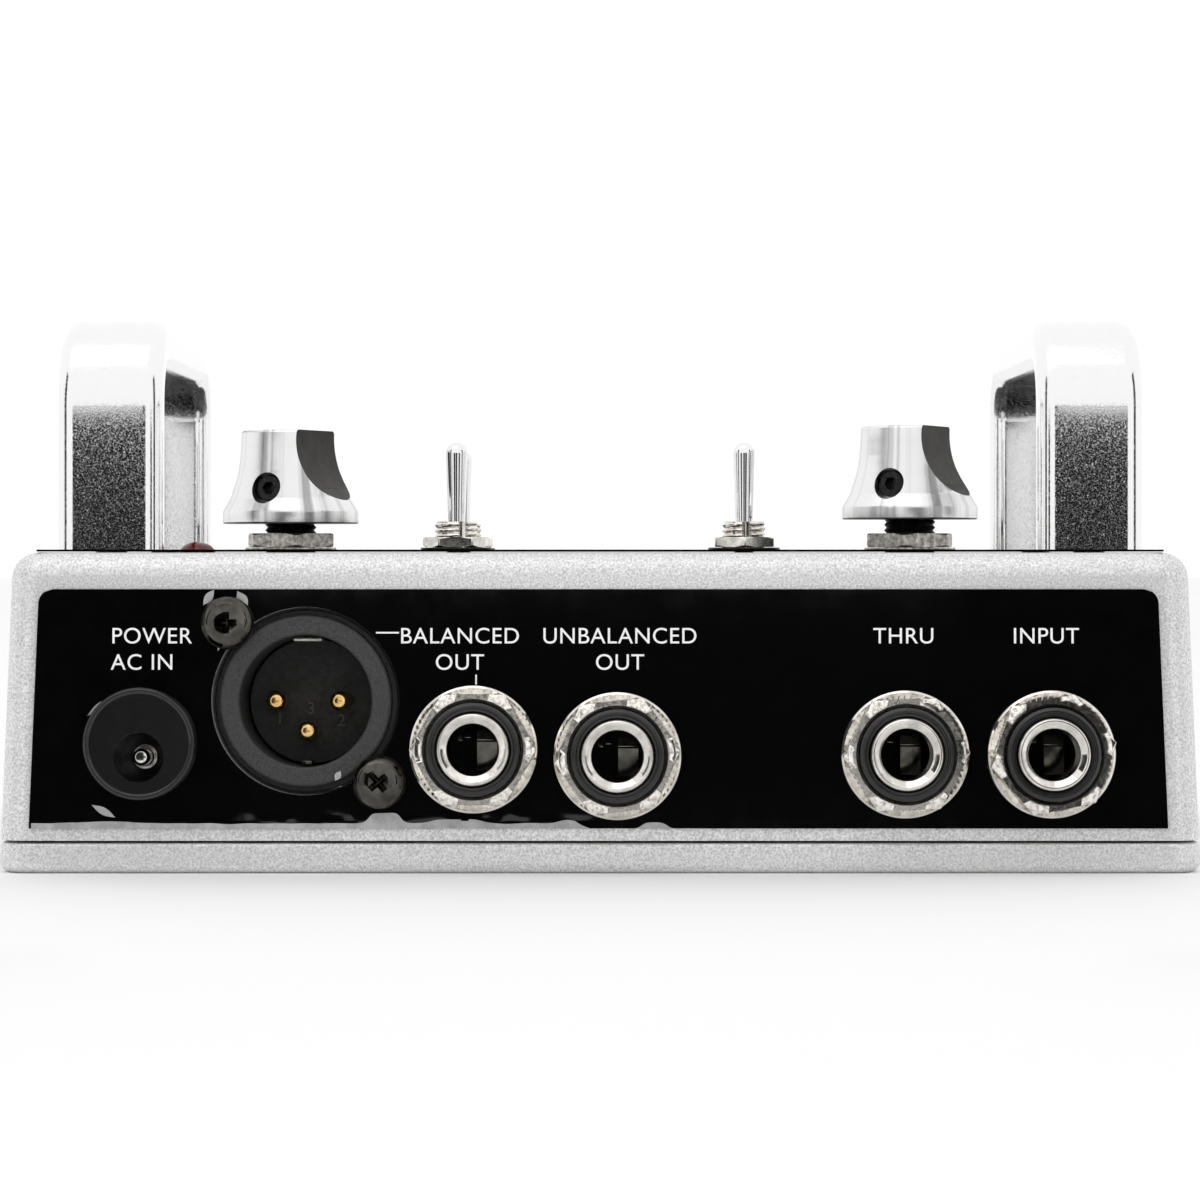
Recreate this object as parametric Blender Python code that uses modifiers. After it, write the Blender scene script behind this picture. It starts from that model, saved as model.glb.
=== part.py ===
"""Direct injection box in a die-cast enclosure, with two lifting handles and three toggle switches on top.

The jack panel faces -Y, +X is on the right of someone facing that panel, +Z is up, and the origin is the
middle of the face that the box stands on. Pieces of the jack panel hang on empties whose Z points straight
out of the leaning panel, and pieces of the top hang on empties at the top face, so their sizes are local.
"""

import math

import bmesh
import bpy
from mathutils import Matrix

MM = 0.001
GAP = 0.3 * MM

# Die-cast enclosure: a box that narrows upward, closed by a plate underneath
LENGTH = 147.0 * MM
DEPTH = 121.2 * MM
TOP = 39.1 * MM
SEAM = 3.7 * MM
BODY_INSET = 0.15 * MM
DRAFT = math.radians(2.1)
WALL = 2.3 * MM
CORNER_RADIUS = 3.5 * MM
EDGE_RADIUS = 3.0 * MM
BASE_EDGE_RADIUS = 1.3 * MM
BASE_FLOOR = 1.9 * MM
LIP_HEIGHT = 1.6 * MM
LIP_WIDTH = 2.0 * MM
BOSS_RADIUS = 3.6 * MM
BOSS_INSET = 5.35 * MM
BASE_SCREW_RADIUS = 1.5 * MM
BASE_SCREW_HEAD = 3.1 * MM
BASE_SCREW_LENGTH = 14.0 * MM

# Printed labels
LABEL_THICKNESS = 0.25 * MM
LABEL_LIFT = 0.1 * MM
REAR_LABEL_LOW = 5.5 * MM
REAR_LABEL_HIGH = 34.6 * MM
REAR_LABEL_HALF_LOW = 69.1 * MM
REAR_LABEL_HALF_HIGH = 68.0 * MM
REAR_LABEL_CORNER = 1.7 * MM
TOP_LABEL_MARGIN = 0.1 * MM
LABEL_FACE = LABEL_LIFT + LABEL_THICKNESS

# Handles: bars bent to a U, front to back, screwed on from inside
HANDLE_X = 62.8 * MM
HANDLE_WIDTH = 13.4 * MM
HANDLE_THICKNESS = 6.5 * MM
HANDLE_HEIGHT = 29.5 * MM
HANDLE_PITCH = 65.0 * MM
HANDLE_BEND = 8.2 * MM
HANDLE_EDGE = 2.3 * MM
HANDLE_HOLE_DEPTH = 9.0 * MM
HANDLE_SCREW_RADIUS = 2.0 * MM
HANDLE_SCREW_HEAD = 4.0 * MM
HANDLE_SCREW_HEAD_HEIGHT = 2.4 * MM

# Knobs and potentiometers
KNOB_X = 42.2 * MM
KNOB_UNDERSIDE = {"left": 3.9 * MM, "right": 4.5 * MM}
KNOB_OUTLINE = (
    (6.37, 12.7),
    (6.67, 12.4),
    (6.77, 10.3),
    (6.9, 8.7),
    (7.1, 7.2),
    (7.45, 5.8),
    (8.2, 3.45),
    (9.2, 1.75),
)
KNOB_SKIRT = 9.23 * MM
KNOB_BORE_DEPTH = 10.6 * MM
KNOB_RECESS_RADIUS = 4.2 * MM
KNOB_RECESS_DEPTH = 1.5 * MM
SCOOP_RADIUS = 9.7 * MM
SCOOP_START = 3.75 * MM
SCOOP_HEIGHT = 11.45 * MM
SCOOP_TURN = {"left": 66.3, "right": 65.2}
GRUB_TURN = {"left": -22.0, "right": -26.0}
GRUB_HEIGHT = 4.8 * MM
GRUB_RADIUS = 1.8 * MM
GRUB_LENGTH = 3.6 * MM
SHAFT_RADIUS = 3.0 * MM
SHAFT_NECK_RADIUS = 2.2 * MM
SHAFT_TOP = 14.0 * MM
POT_BUSHING_RADIUS = 3.5 * MM
POT_BUSHING_TOP = 5.0 * MM
POT_CAN_RADIUS = 8.25 * MM
POT_CAN_HEIGHT = 8.0 * MM
POT_NUT_FLATS = 11.0 * MM
POT_NUT_TURN = {"left": 41.0, "right": 19.0}
POT_NUT_LOW = 0.9 * MM
POT_NUT_HIGH = 2.6 * MM

# Toggle switches: their levers stand upright at rest
TOGGLES = {"left": (-19.6 * MM, 0.0), "right": (19.6 * MM, 0.0), "far": (-20.4 * MM, 44.0 * MM)}
TOGGLE_NUT_TURN = {"left": 0.0, "right": 30.0, "far": 0.0}
TOGGLE_PIVOT = 1.5 * MM
TOGGLE_BUSHING_RADIUS = 3.0 * MM
TOGGLE_BORE_RADIUS = 2.35 * MM
TOGGLE_BUSHING_TOP = 4.2 * MM
TOGGLE_FLANGE_RADIUS = 3.9 * MM
TOGGLE_FLANGE = 0.8 * MM
TOGGLE_NUT_FLATS = 8.0 * MM
TOGGLE_NUT_LOW = 0.8 * MM
TOGGLE_NUT_HIGH = 2.1 * MM
TOGGLE_CASE = (8.0 * MM, 13.0 * MM, 8.5 * MM)
TOGGLE_LUG = (2.0 * MM, 0.8 * MM, 3.5 * MM)
TOGGLE_LUG_PITCH = 4.7 * MM
LEVER_LENGTH = 13.5 * MM
LEVER_TIP = 1.5 * MM
LEVER_ROOT = 1.2 * MM
LEVER_BALL = 1.95 * MM
LEVER_TAIL = 2.6 * MM
LEVER_TAIL_RADIUS = 0.9 * MM

# Power lamp
LED_PLACE = (-53.0 * MM, -20.0 * MM)
LED_RADIUS = 2.45 * MM
LED_RIM = 2.9 * MM
LED_RIM_HEIGHT = 1.0 * MM
LED_DOME = 1.05 * MM
LED_BODY = 6.5 * MM

# XLR connector, mounted from inside
XLR_X = -35.9 * MM
XLR_HEIGHT = 21.0 * MM
XLR_HOLE = 11.45 * MM
XLR_RIM = 10.45 * MM
XLR_BORE = 8.05 * MM
XLR_BORE_DEPTH = 16.0 * MM
XLR_BODY = 11.2 * MM
XLR_BODY_DEPTH = 20.5 * MM
XLR_FLANGE = 13.0 * MM
XLR_FLANGE_THICKNESS = 2.0 * MM
XLR_FLANGE_CORNER = 2.5 * MM
XLR_INSERT_THICKNESS = 3.0 * MM
XLR_PINS = {"1": (-3.9 * MM, 0.0), "2": (3.9 * MM, 0.0), "3": (0.0, -3.7 * MM)}
XLR_PIN_RADIUS = 1.2 * MM
XLR_PIN_TIP = -3.5 * MM
XLR_SCREWS = {"upper": (-9.5 * MM, 9.5 * MM), "lower": (9.0 * MM, -9.9 * MM)}
XLR_SCREW_HEAD = 3.25 * MM
XLR_SCREW_HEAD_HEIGHT = 1.9 * MM
XLR_SCREW_RADIUS = 1.45 * MM
XLR_SCREW_LENGTH = 7.0 * MM

# Power socket
POWER_X = -56.0 * MM
POWER_HEIGHT = 15.8 * MM
POWER_FACE = 6.85 * MM
POWER_PROUD = 2.1 * MM
POWER_BARREL = 5.7 * MM
POWER_BARREL_DEPTH = 14.0 * MM
POWER_BORE = 3.0 * MM
POWER_BORE_DROP = 1.65 * MM
POWER_BORE_DEPTH = 8.0 * MM
POWER_PIN_RADIUS = 1.05 * MM
POWER_PIN_BASE = 1.6 * MM
POWER_PIN_TOP = -0.6 * MM

# Quarter-inch jacks: place on the panel and turn of the hexagon
JACKS = {
    "balanced": (-15.4 * MM, 15.1 * MM, 0.0),
    "unbalanced": (2.1 * MM, 14.3 * MM, 6.0),
    "thru": (37.1 * MM, 14.5 * MM, 2.0),
    "input": (54.9 * MM, 14.5 * MM, 11.0),
}
JACK_BUSHING = 5.75 * MM
JACK_BUSHING_PROUD = 4.3 * MM
JACK_BODY = 14.0 * MM
JACK_BODY_DEPTH = 25.0 * MM
JACK_SLEEVE = 4.45 * MM
JACK_SLEEVE_PROUD = 4.8 * MM
JACK_SLEEVE_DEPTH = 5.7 * MM
JACK_BORE = 3.2 * MM
JACK_BORE_INNER = 3.6 * MM
JACK_BORE_DEPTH = 23.0 * MM
JACK_NUT_FLATS = 13.4 * MM
JACK_NUT_LOW = 1.5 * MM
JACK_NUT_HIGH = 3.7 * MM

# Circuit board and output transformer
BOARD_LOW = 21.0 * MM
BOARD_THICKNESS = 1.6 * MM
BOARD_HALF_X = 58.0 * MM
BOARD_FRONT = -28.0 * MM
BOARD_BACK = 52.0 * MM
BOARD_CHIPS = ((-34.0, 22.0, 10.0, 6.5, 3.2), (0.0, 28.0, 10.0, 6.5, 3.2), (38.0, 24.0, 6.4, 9.0, 3.2))
BOARD_CANS = ((-50.0, 40.0, 4.0), (-40.0, 40.0, 4.0), (44.0, 40.0, 3.2), (6.0, -16.0, 3.2))
BOARD_CAN_DROP = 11.0 * MM
CORE = (26.0 * MM, 20.0 * MM, 15.0 * MM)
CORE_PLACE = (26.0 * MM, 14.0 * MM)
COIL = (15.0 * MM, 27.0 * MM, 9.0 * MM)

FINE = 28
COARSE = 20
SMALL = 12
SMOOTH_BELOW = math.radians(35)

BODY_HALF_X = LENGTH / 2 - BODY_INSET
BODY_HALF_Y = DEPTH / 2 - BODY_INSET
BODY_LOW = SEAM + GAP
TOP_INSIDE = TOP - WALL
UNDER_TOP = -WALL - GAP
BOSS_X = LENGTH / 2 - BOSS_INSET
BOSS_Y = DEPTH / 2 - BOSS_INSET


# Scene and small helpers

def clear_scene():
    for obj in list(bpy.data.objects):
        bpy.data.objects.remove(obj)
    for group in list(bpy.data.collections):
        bpy.data.collections.remove(group)


def collection(name):
    group = bpy.data.collections.new(name)
    bpy.context.scene.collection.children.link(group)
    return group


def material(name, colour, roughness, metallic=0.0):
    made = bpy.data.materials.new(name)
    made.use_nodes = True
    shader = made.node_tree.nodes["Principled BSDF"]
    shader.inputs["Base Color"].default_value = (*colour, 1.0)
    shader.inputs["Roughness"].default_value = roughness
    shader.inputs["Metallic"].default_value = metallic
    return made


def place(obj, parent=None, at=(0, 0, 0), turn=(0, 0, 0)):
    """Puts an object under its parent, at a place and a turn in degrees."""
    obj.parent = parent
    obj.location = at
    obj.rotation_euler = [math.radians(angle) for angle in turn]
    return obj


def empty(name, parent=None, at=(0, 0, 0), turn=(0, 0, 0)):
    obj = bpy.data.objects.new(name, None)
    parts.objects.link(obj)
    return place(obj, parent, at, turn)


def solid(name, mesh, finish, **where):
    """A node of the object."""
    obj = bpy.data.objects.new(name, mesh)
    parts.objects.link(obj)
    mesh.materials.clear()
    mesh.materials.append(finish)
    return place(obj, **where)


def tool(name, mesh, group, **where):
    """A shape that only cuts or joins other pieces."""
    obj = bpy.data.objects.new(name, mesh)
    group.objects.link(obj)
    obj.hide_render = True
    obj.display_type = "WIRE"
    return place(obj, **where)


def boolean(obj, other, operation="DIFFERENCE"):
    step = obj.modifiers.new(operation.lower(), "BOOLEAN")
    step.operation = operation
    step.solver = "EXACT"
    if isinstance(other, bpy.types.Collection):
        step.operand_type = "COLLECTION"
        step.collection = other
    else:
        step.object = other


def smoothed(mesh):
    mesh.shade_smooth()
    mesh.set_sharp_from_angle(angle=SMOOTH_BELOW)
    return mesh


def mesh_from(bm):
    mesh = bpy.data.meshes.new("shape")
    bm.to_mesh(mesh)
    bm.free()
    return mesh


def evaluated_mesh(obj):
    """The finished mesh of an object, which is then removed."""
    bpy.context.view_layer.update()
    graph = bpy.context.evaluated_depsgraph_get()
    mesh = bpy.data.meshes.new_from_object(obj.evaluated_get(graph))
    bpy.data.objects.remove(obj)
    return mesh


# Shapes

def block(low, high):
    bm = bmesh.new()
    bmesh.ops.create_cube(bm, size=1.0)
    for vertex in bm.verts:
        for axis in range(3):
            vertex.co[axis] = low[axis] + (vertex.co[axis] + 0.5) * (high[axis] - low[axis])
    return bm


def rod(radius, low, high, steps=COARSE):
    bm = bmesh.new()
    bmesh.ops.create_cone(
        bm, segments=steps, radius1=radius, radius2=radius, depth=high - low, cap_ends=True
    )
    bmesh.ops.translate(bm, vec=(0, 0, (low + high) / 2), verts=bm.verts)
    return smoothed(mesh_from(bm))


def drafted_block(half_x, half_y, low, high, radius, edge_radius=0.0, segments=3):
    """A box with its foot at z = low that narrows upward by the draft, with rounded upright corners.

    With an edge radius the top edges are rounded as well.
    """
    bm = block((-half_x, -half_y, low), (half_x, half_y, high))
    shrink = (high - low) * math.tan(DRAFT)
    for vertex in bm.verts:
        if vertex.co.z > (low + high) / 2:
            vertex.co.x -= math.copysign(shrink, vertex.co.x)
            vertex.co.y -= math.copysign(shrink, vertex.co.y)
    middle = (low + high) / 2
    upright = [edge for edge in bm.edges if (edge.verts[0].co.z - middle) * (edge.verts[1].co.z - middle) < 0]
    bmesh.ops.bevel(bm, geom=upright, offset=radius, segments=segments, profile=0.5, affect="EDGES")
    if edge_radius:
        rim = [edge for edge in bm.edges if min(end.co.z for end in edge.verts) > high - GAP / 10]
        bmesh.ops.bevel(bm, geom=rim, offset=edge_radius, segments=segments, profile=0.5, affect="EDGES")
    return smoothed(mesh_from(bm))


def turned(profile, steps=COARSE, closed=False):
    """A solid turned about Z from (radius, height) points that run down its outer side."""
    bm = bmesh.new()
    points = [bm.verts.new((radius, 0, height)) for radius, height in profile]
    for first, second in zip(points, points[1:]):
        bm.edges.new((first, second))
    if closed:
        bm.edges.new((points[-1], points[0]))
    obj = bpy.data.objects.new("profile", mesh_from(bm))
    tools.objects.link(obj)
    screw = obj.modifiers.new("turn", "SCREW")
    screw.steps = steps
    screw.render_steps = steps
    screw.use_merge_vertices = True
    screw.merge_threshold = 0.00001
    return smoothed(evaluated_mesh(obj))


def arc(centre, radius, start, end, steps):
    """Points on an arc, from one angle to another in degrees."""
    angles = [math.radians(start + (end - start) * step / steps) for step in range(steps + 1)]
    return [(centre[0] + radius * math.cos(angle), centre[1] + radius * math.sin(angle)) for angle in angles]


def hexagon(flats, low, high):
    """A hexagonal prism with flats facing +Y and -Y."""
    mesh = rod(flats / 2 / math.cos(math.radians(30)), low, high, 6)
    mesh.transform(Matrix.Rotation(math.radians(30), 4, "Z"))
    return mesh


def hex_nut(name, flats, low, high, bore, finish, parent, turn):
    nut = solid(name, hexagon(flats, low, high), finish, parent=parent, turn=(0, 0, turn))
    hole = tool(name + "_hole", rod(bore, low - 1 * MM, high + 1 * MM), tools, parent=parent)
    boolean(nut, hole)
    return nut


# Enclosure

def cavity_mesh(margin, low, high):
    """The room inside the walls, narrower by a margin, with a notch round each corner boss."""
    half_x = BODY_HALF_X - WALL - margin
    half_y = BODY_HALF_Y - WALL - margin
    room = bpy.data.objects.new("room", drafted_block(half_x, half_y, low, high, 2.5 * MM))
    tools.objects.link(room)
    posts = []
    for x in (-BOSS_X, BOSS_X):
        for y in (-BOSS_Y, BOSS_Y):
            mesh = rod(BOSS_RADIUS + margin, low - 1 * MM, high + 1 * MM, SMALL)
            post = tool("boss_notch", mesh, tools, at=(x, y, 0))
            boolean(room, post)
            posts.append(post)
    mesh = evaluated_mesh(room)
    for post in posts:
        bpy.data.objects.remove(post)
    return mesh


def make_enclosure():
    mesh = drafted_block(BODY_HALF_X, BODY_HALF_Y, BODY_LOW, TOP, CORNER_RADIUS, EDGE_RADIUS)
    body = solid("enclosure_body", mesh, cast)
    room = tool("body_room", cavity_mesh(0.0, BODY_LOW - 1 * MM, TOP_INSIDE), tools)
    boolean(body, room)
    boolean(body, rear_holes)
    boolean(body, top_holes)
    boolean(body, boss_holes)

    bm = block((-LENGTH / 2, -DEPTH / 2, 0), (LENGTH / 2, DEPTH / 2, SEAM))
    upright = [edge for edge in bm.edges if abs(edge.verts[0].co.z - edge.verts[1].co.z) > GAP]
    bmesh.ops.bevel(bm, geom=upright, offset=CORNER_RADIUS, segments=3, profile=0.5, affect="EDGES")
    rim = [edge for edge in bm.edges if max(end.co.z for end in edge.verts) < GAP]
    bmesh.ops.bevel(bm, geom=rim, offset=BASE_EDGE_RADIUS, segments=2, profile=0.5, affect="EDGES")
    plate = solid("base_plate", smoothed(mesh_from(bm)), cast)
    lip = tool("base_lip", cavity_mesh(GAP, SEAM - 1 * MM, SEAM + LIP_HEIGHT), tools)
    boolean(plate, lip, "UNION")
    pocket = cavity_mesh(LIP_WIDTH, BASE_FLOOR, SEAM + LIP_HEIGHT + 1 * MM)
    boolean(plate, tool("base_pocket", pocket, tools))

    head = BASE_SCREW_HEAD
    cone = head - BASE_SCREW_RADIUS
    screw = (
        (0, BASE_SCREW_LENGTH),
        (BASE_SCREW_RADIUS, BASE_SCREW_LENGTH),
        (BASE_SCREW_RADIUS, GAP + cone),
        (head, GAP),
        (0, GAP),
    )
    sink = (
        (0, BASE_SCREW_LENGTH + GAP),
        (BASE_SCREW_RADIUS + GAP, BASE_SCREW_LENGTH + GAP),
        (BASE_SCREW_RADIUS + GAP, GAP + cone),
        (head + GAP, GAP),
        (head + GAP, -1 * MM),
        (0, -1 * MM),
    )
    screw_mesh = turned(screw, SMALL)
    sink_mesh = turned(sink, SMALL)
    corners = [(x, y) for y in (-BOSS_Y, BOSS_Y) for x in (-BOSS_X, BOSS_X)]
    for number, (x, y) in enumerate(corners, 1):
        solid(f"base_screw_{number}", screw_mesh, dark_steel, at=(x, y, 0))
        tool(f"base_screw_hole_{number}", sink_mesh, boss_holes, at=(x, y, 0))
    boolean(plate, boss_holes)


# Labels

def make_labels():
    low = (REAR_LABEL_LOW - BODY_LOW) / math.cos(DRAFT)
    high = (REAR_LABEL_HIGH - BODY_LOW) / math.cos(DRAFT)
    bm = block((-REAR_LABEL_HALF_LOW, -LABEL_FACE, low), (REAR_LABEL_HALF_LOW, -LABEL_LIFT, high))
    for vertex in bm.verts:
        if vertex.co.z > (low + high) / 2:
            vertex.co.x = math.copysign(REAR_LABEL_HALF_HIGH, vertex.co.x)
    corners = [edge for edge in bm.edges if min(end.co.z for end in edge.verts) > high - GAP]
    corners = [edge for edge in corners if abs(edge.verts[0].co.y - edge.verts[1].co.y) > LABEL_LIFT]
    bmesh.ops.bevel(bm, geom=corners, offset=REAR_LABEL_CORNER, segments=3, profile=0.5, affect="EDGES")
    label = solid("rear_label", mesh_from(bm), black_film, parent=panel)
    boolean(label, rear_holes)

    narrowing = (TOP - BODY_LOW) * math.tan(DRAFT) + EDGE_RADIUS - TOP_LABEL_MARGIN
    half_x = BODY_HALF_X - narrowing
    half_y = BODY_HALF_Y - narrowing
    bm = block((-half_x, -half_y, TOP + LABEL_LIFT), (half_x, half_y, TOP + LABEL_FACE))
    upright = [edge for edge in bm.edges if abs(edge.verts[0].co.z - edge.verts[1].co.z) > LABEL_LIFT]
    bmesh.ops.bevel(bm, geom=upright, offset=2 * MM, segments=3, profile=0.5, affect="EDGES")
    label = solid("top_label", mesh_from(bm), black_film)
    boolean(label, top_holes)


# Handles

def handle_mesh():
    """A U in the YZ plane, standing on z = 0, swept with a rounded rectangle."""
    half = HANDLE_PITCH / 2
    crown = HANDLE_HEIGHT - HANDLE_THICKNESS / 2
    path = [(-half, 0.0)]
    path += arc((-half + HANDLE_BEND, crown - HANDLE_BEND), HANDLE_BEND, 180, 90, 6)
    path += arc((half - HANDLE_BEND, crown - HANDLE_BEND), HANDLE_BEND, 90, 0, 6)
    path += [(half, 0.0)]

    wide = HANDLE_WIDTH / 2 - HANDLE_EDGE
    thick = HANDLE_THICKNESS / 2 - HANDLE_EDGE
    section = []
    for turn, (x, y) in enumerate(((wide, thick), (-wide, thick), (-wide, -thick), (wide, -thick))):
        section += arc((x, y), HANDLE_EDGE, turn * 90, turn * 90 + 90, 2)

    outline = polyline("handle_section", [(x, y, 0) for x, y in section], "2D", closed=True)
    sweep = polyline("handle_path", [(0, y, z) for y, z in path], "3D")
    sweep.data.bevel_mode = "OBJECT"
    sweep.data.bevel_object = outline
    sweep.data.use_fill_caps = True
    mesh = evaluated_mesh(sweep)
    bpy.data.objects.remove(outline)
    bm = bmesh.new()
    bm.from_mesh(mesh)
    bmesh.ops.remove_doubles(bm, verts=bm.verts, dist=0.00001)
    bmesh.ops.recalc_face_normals(bm, faces=bm.faces)
    return smoothed(mesh_from(bm))


def polyline(name, points, dimensions, closed=False):
    data = bpy.data.curves.new(name, "CURVE")
    data.dimensions = dimensions
    data.fill_mode = "NONE" if dimensions == "2D" else "FULL"
    line = data.splines.new("POLY")
    line.points.add(len(points) - 1)
    for point, place_of_point in zip(line.points, points):
        point.co = (*place_of_point, 1.0)
    line.use_cyclic_u = closed
    obj = bpy.data.objects.new(name, data)
    tools.objects.link(obj)
    return obj


def make_handles():
    shared = handle_mesh()
    foot = LABEL_FACE + GAP
    head_top = UNDER_TOP
    head_low = head_top - HANDLE_SCREW_HEAD_HEIGHT
    tip = foot + HANDLE_HOLE_DEPTH - 1 * MM
    screw = (
        (0, tip),
        (HANDLE_SCREW_RADIUS, tip),
        (HANDLE_SCREW_RADIUS, head_top),
        (HANDLE_SCREW_HEAD, head_top),
        (HANDLE_SCREW_HEAD, head_low),
        (0, head_low),
    )
    screw_mesh = turned(screw, SMALL)
    hole_mesh = rod(HANDLE_SCREW_RADIUS + GAP, head_low, foot + HANDLE_HOLE_DEPTH, SMALL)
    number = 0
    for side, x in (("left", -HANDLE_X), ("right", HANDLE_X)):
        handle = solid(f"handle_{side}", shared.copy(), polished, at=(x, 0, TOP + foot))
        for y in (-HANDLE_PITCH / 2, HANDLE_PITCH / 2):
            number += 1
            solid(f"handle_screw_{number}", screw_mesh, dark_steel, at=(x, y, TOP))
            hole = tool(f"handle_hole_{number}", hole_mesh, top_holes, at=(x, y, TOP))
            boolean(handle, hole)


# Knobs and potentiometers

def knob_mesh():
    """Open below, with a recess for the bushing and a blind bore for the shaft."""
    outline = [(radius * MM, height * MM) for radius, height in KNOB_OUTLINE]
    bore = SHAFT_RADIUS + GAP
    profile = [(0, outline[0][1])] + outline + [
        (KNOB_SKIRT, 0),
        (KNOB_RECESS_RADIUS, 0),
        (KNOB_RECESS_RADIUS, KNOB_RECESS_DEPTH),
        (bore, KNOB_RECESS_DEPTH),
        (bore, KNOB_BORE_DEPTH),
        (0, KNOB_BORE_DEPTH),
    ]
    return turned(profile, FINE)


def make_knob(side, x):
    base = empty(f"pot_{side}", at=(x, 0, TOP))
    knob = solid(f"knob_{side}", knob_mesh(), turned_aluminium, parent=base, at=(0, 0, KNOB_UNDERSIDE[side]))
    turn = math.radians(SCOOP_TURN[side])
    reach = SCOOP_START + SCOOP_RADIUS
    at = (reach * math.sin(turn), -reach * math.cos(turn), SCOOP_HEIGHT)
    scoop = tool(f"scoop_{side}", rod(SCOOP_RADIUS, -12 * MM, 12 * MM, 64), tools, parent=knob, at=at)
    scoop.rotation_euler = (0, math.pi / 2, turn)
    boolean(knob, scoop)

    turn = math.radians(GRUB_TURN[side])
    hole = tool(f"grub_hole_{side}", rod(GRUB_RADIUS + GAP, 0, 12 * MM, SMALL), tools, parent=knob)
    start = SHAFT_RADIUS + GAP
    grub_mesh = rod(GRUB_RADIUS, start, start + GRUB_LENGTH, SMALL)
    grub = solid(f"knob_grub_screw_{side}", grub_mesh, dark_steel, parent=knob)
    for piece in (hole, grub):
        piece.location = (0, 0, GRUB_HEIGHT)
        piece.rotation_euler = (math.pi / 2, 0, turn)
    boolean(knob, hole)

    shaft = (
        (0, SHAFT_TOP),
        (SHAFT_RADIUS, SHAFT_TOP),
        (SHAFT_RADIUS, POT_BUSHING_TOP + GAP),
        (SHAFT_NECK_RADIUS, POT_BUSHING_TOP + GAP),
        (SHAFT_NECK_RADIUS, UNDER_TOP - 5 * MM),
        (0, UNDER_TOP - 5 * MM),
    )
    solid(f"pot_shaft_{side}", turned(shaft, COARSE), steel, parent=base)
    can_low = UNDER_TOP - POT_CAN_HEIGHT
    neck = SHAFT_NECK_RADIUS + GAP
    can = (
        (0, UNDER_TOP - 5 * MM - GAP),
        (neck, UNDER_TOP - 5 * MM - GAP),
        (neck, POT_BUSHING_TOP),
        (POT_BUSHING_RADIUS, POT_BUSHING_TOP),
        (POT_BUSHING_RADIUS, UNDER_TOP),
        (POT_CAN_RADIUS, UNDER_TOP),
        (POT_CAN_RADIUS, can_low),
        (0, can_low),
    )
    solid(f"pot_body_{side}", turned(can, COARSE), dark_steel, parent=base)
    bore = POT_BUSHING_RADIUS + GAP
    turn = POT_NUT_TURN[side]
    hex_nut(f"pot_nut_{side}", POT_NUT_FLATS, POT_NUT_LOW, POT_NUT_HIGH, bore, nickel, base, turn)
    tool(f"pot_hole_{side}", rod(bore, UNDER_TOP, 1 * MM, COARSE), top_holes, parent=base)


# Toggle switches

def lever_mesh():
    """A bat-shaped lever with its ball at the origin."""
    neck = math.degrees(math.asin(LEVER_ROOT / LEVER_BALL))
    foot = math.degrees(math.asin(LEVER_TAIL_RADIUS / LEVER_BALL))
    tip = arc((0, LEVER_LENGTH - LEVER_TIP), LEVER_TIP, 90, 0, 4)
    ball = arc((0, 0), LEVER_BALL, 90 - neck, foot - 90, 6)
    profile = tip + ball + [(LEVER_TAIL_RADIUS, -LEVER_TAIL), (0, -LEVER_TAIL)]
    profile[0] = (0, LEVER_LENGTH)
    return turned(profile, SMALL)


def make_toggle(side, x, y, shared_lever):
    base = empty(f"toggle_{side}", at=(x, y, TOP))
    at = (0, 0, TOGGLE_PIVOT)
    solid(f"toggle_lever_{side}", shared_lever, polished, parent=base, at=at)
    bushing = (
        (TOGGLE_BUSHING_RADIUS, TOGGLE_BUSHING_TOP),
        (TOGGLE_BUSHING_RADIUS, UNDER_TOP),
        (TOGGLE_FLANGE_RADIUS, UNDER_TOP),
        (TOGGLE_FLANGE_RADIUS, UNDER_TOP - TOGGLE_FLANGE),
        (TOGGLE_BORE_RADIUS, UNDER_TOP - TOGGLE_FLANGE),
        (TOGGLE_BORE_RADIUS, TOGGLE_BUSHING_TOP),
    )
    solid(f"toggle_bushing_{side}", turned(bushing, COARSE, closed=True), nickel, parent=base)
    bore = TOGGLE_BUSHING_RADIUS + GAP
    turn = TOGGLE_NUT_TURN[side]
    hex_nut(f"toggle_nut_{side}", TOGGLE_NUT_FLATS, TOGGLE_NUT_LOW, TOGGLE_NUT_HIGH, bore, nickel, base, turn)
    tool(f"toggle_hole_{side}", rod(bore, UNDER_TOP, 1 * MM), top_holes, parent=base)

    half_x, half_y = TOGGLE_CASE[0] / 2, TOGGLE_CASE[1] / 2
    case_top = UNDER_TOP - TOGGLE_FLANGE - GAP
    case_low = case_top - TOGGLE_CASE[2]
    mesh = mesh_from(block((-half_x, -half_y, case_low), (half_x, half_y, case_top)))
    case = solid(f"toggle_case_{side}", mesh, dark_plastic, parent=base)
    for step in (-1, 0, 1):
        centre = step * TOGGLE_LUG_PITCH
        low = (-TOGGLE_LUG[0] / 2, centre - TOGGLE_LUG[1] / 2, case_low - TOGGLE_LUG[2])
        high = (TOGGLE_LUG[0] / 2, centre + TOGGLE_LUG[1] / 2, case_low + 1 * MM)
        lug = tool(f"toggle_lug_{side}_{step}", mesh_from(block(low, high)), tools, parent=base)
        boolean(case, lug, "UNION")


# Power lamp

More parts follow.
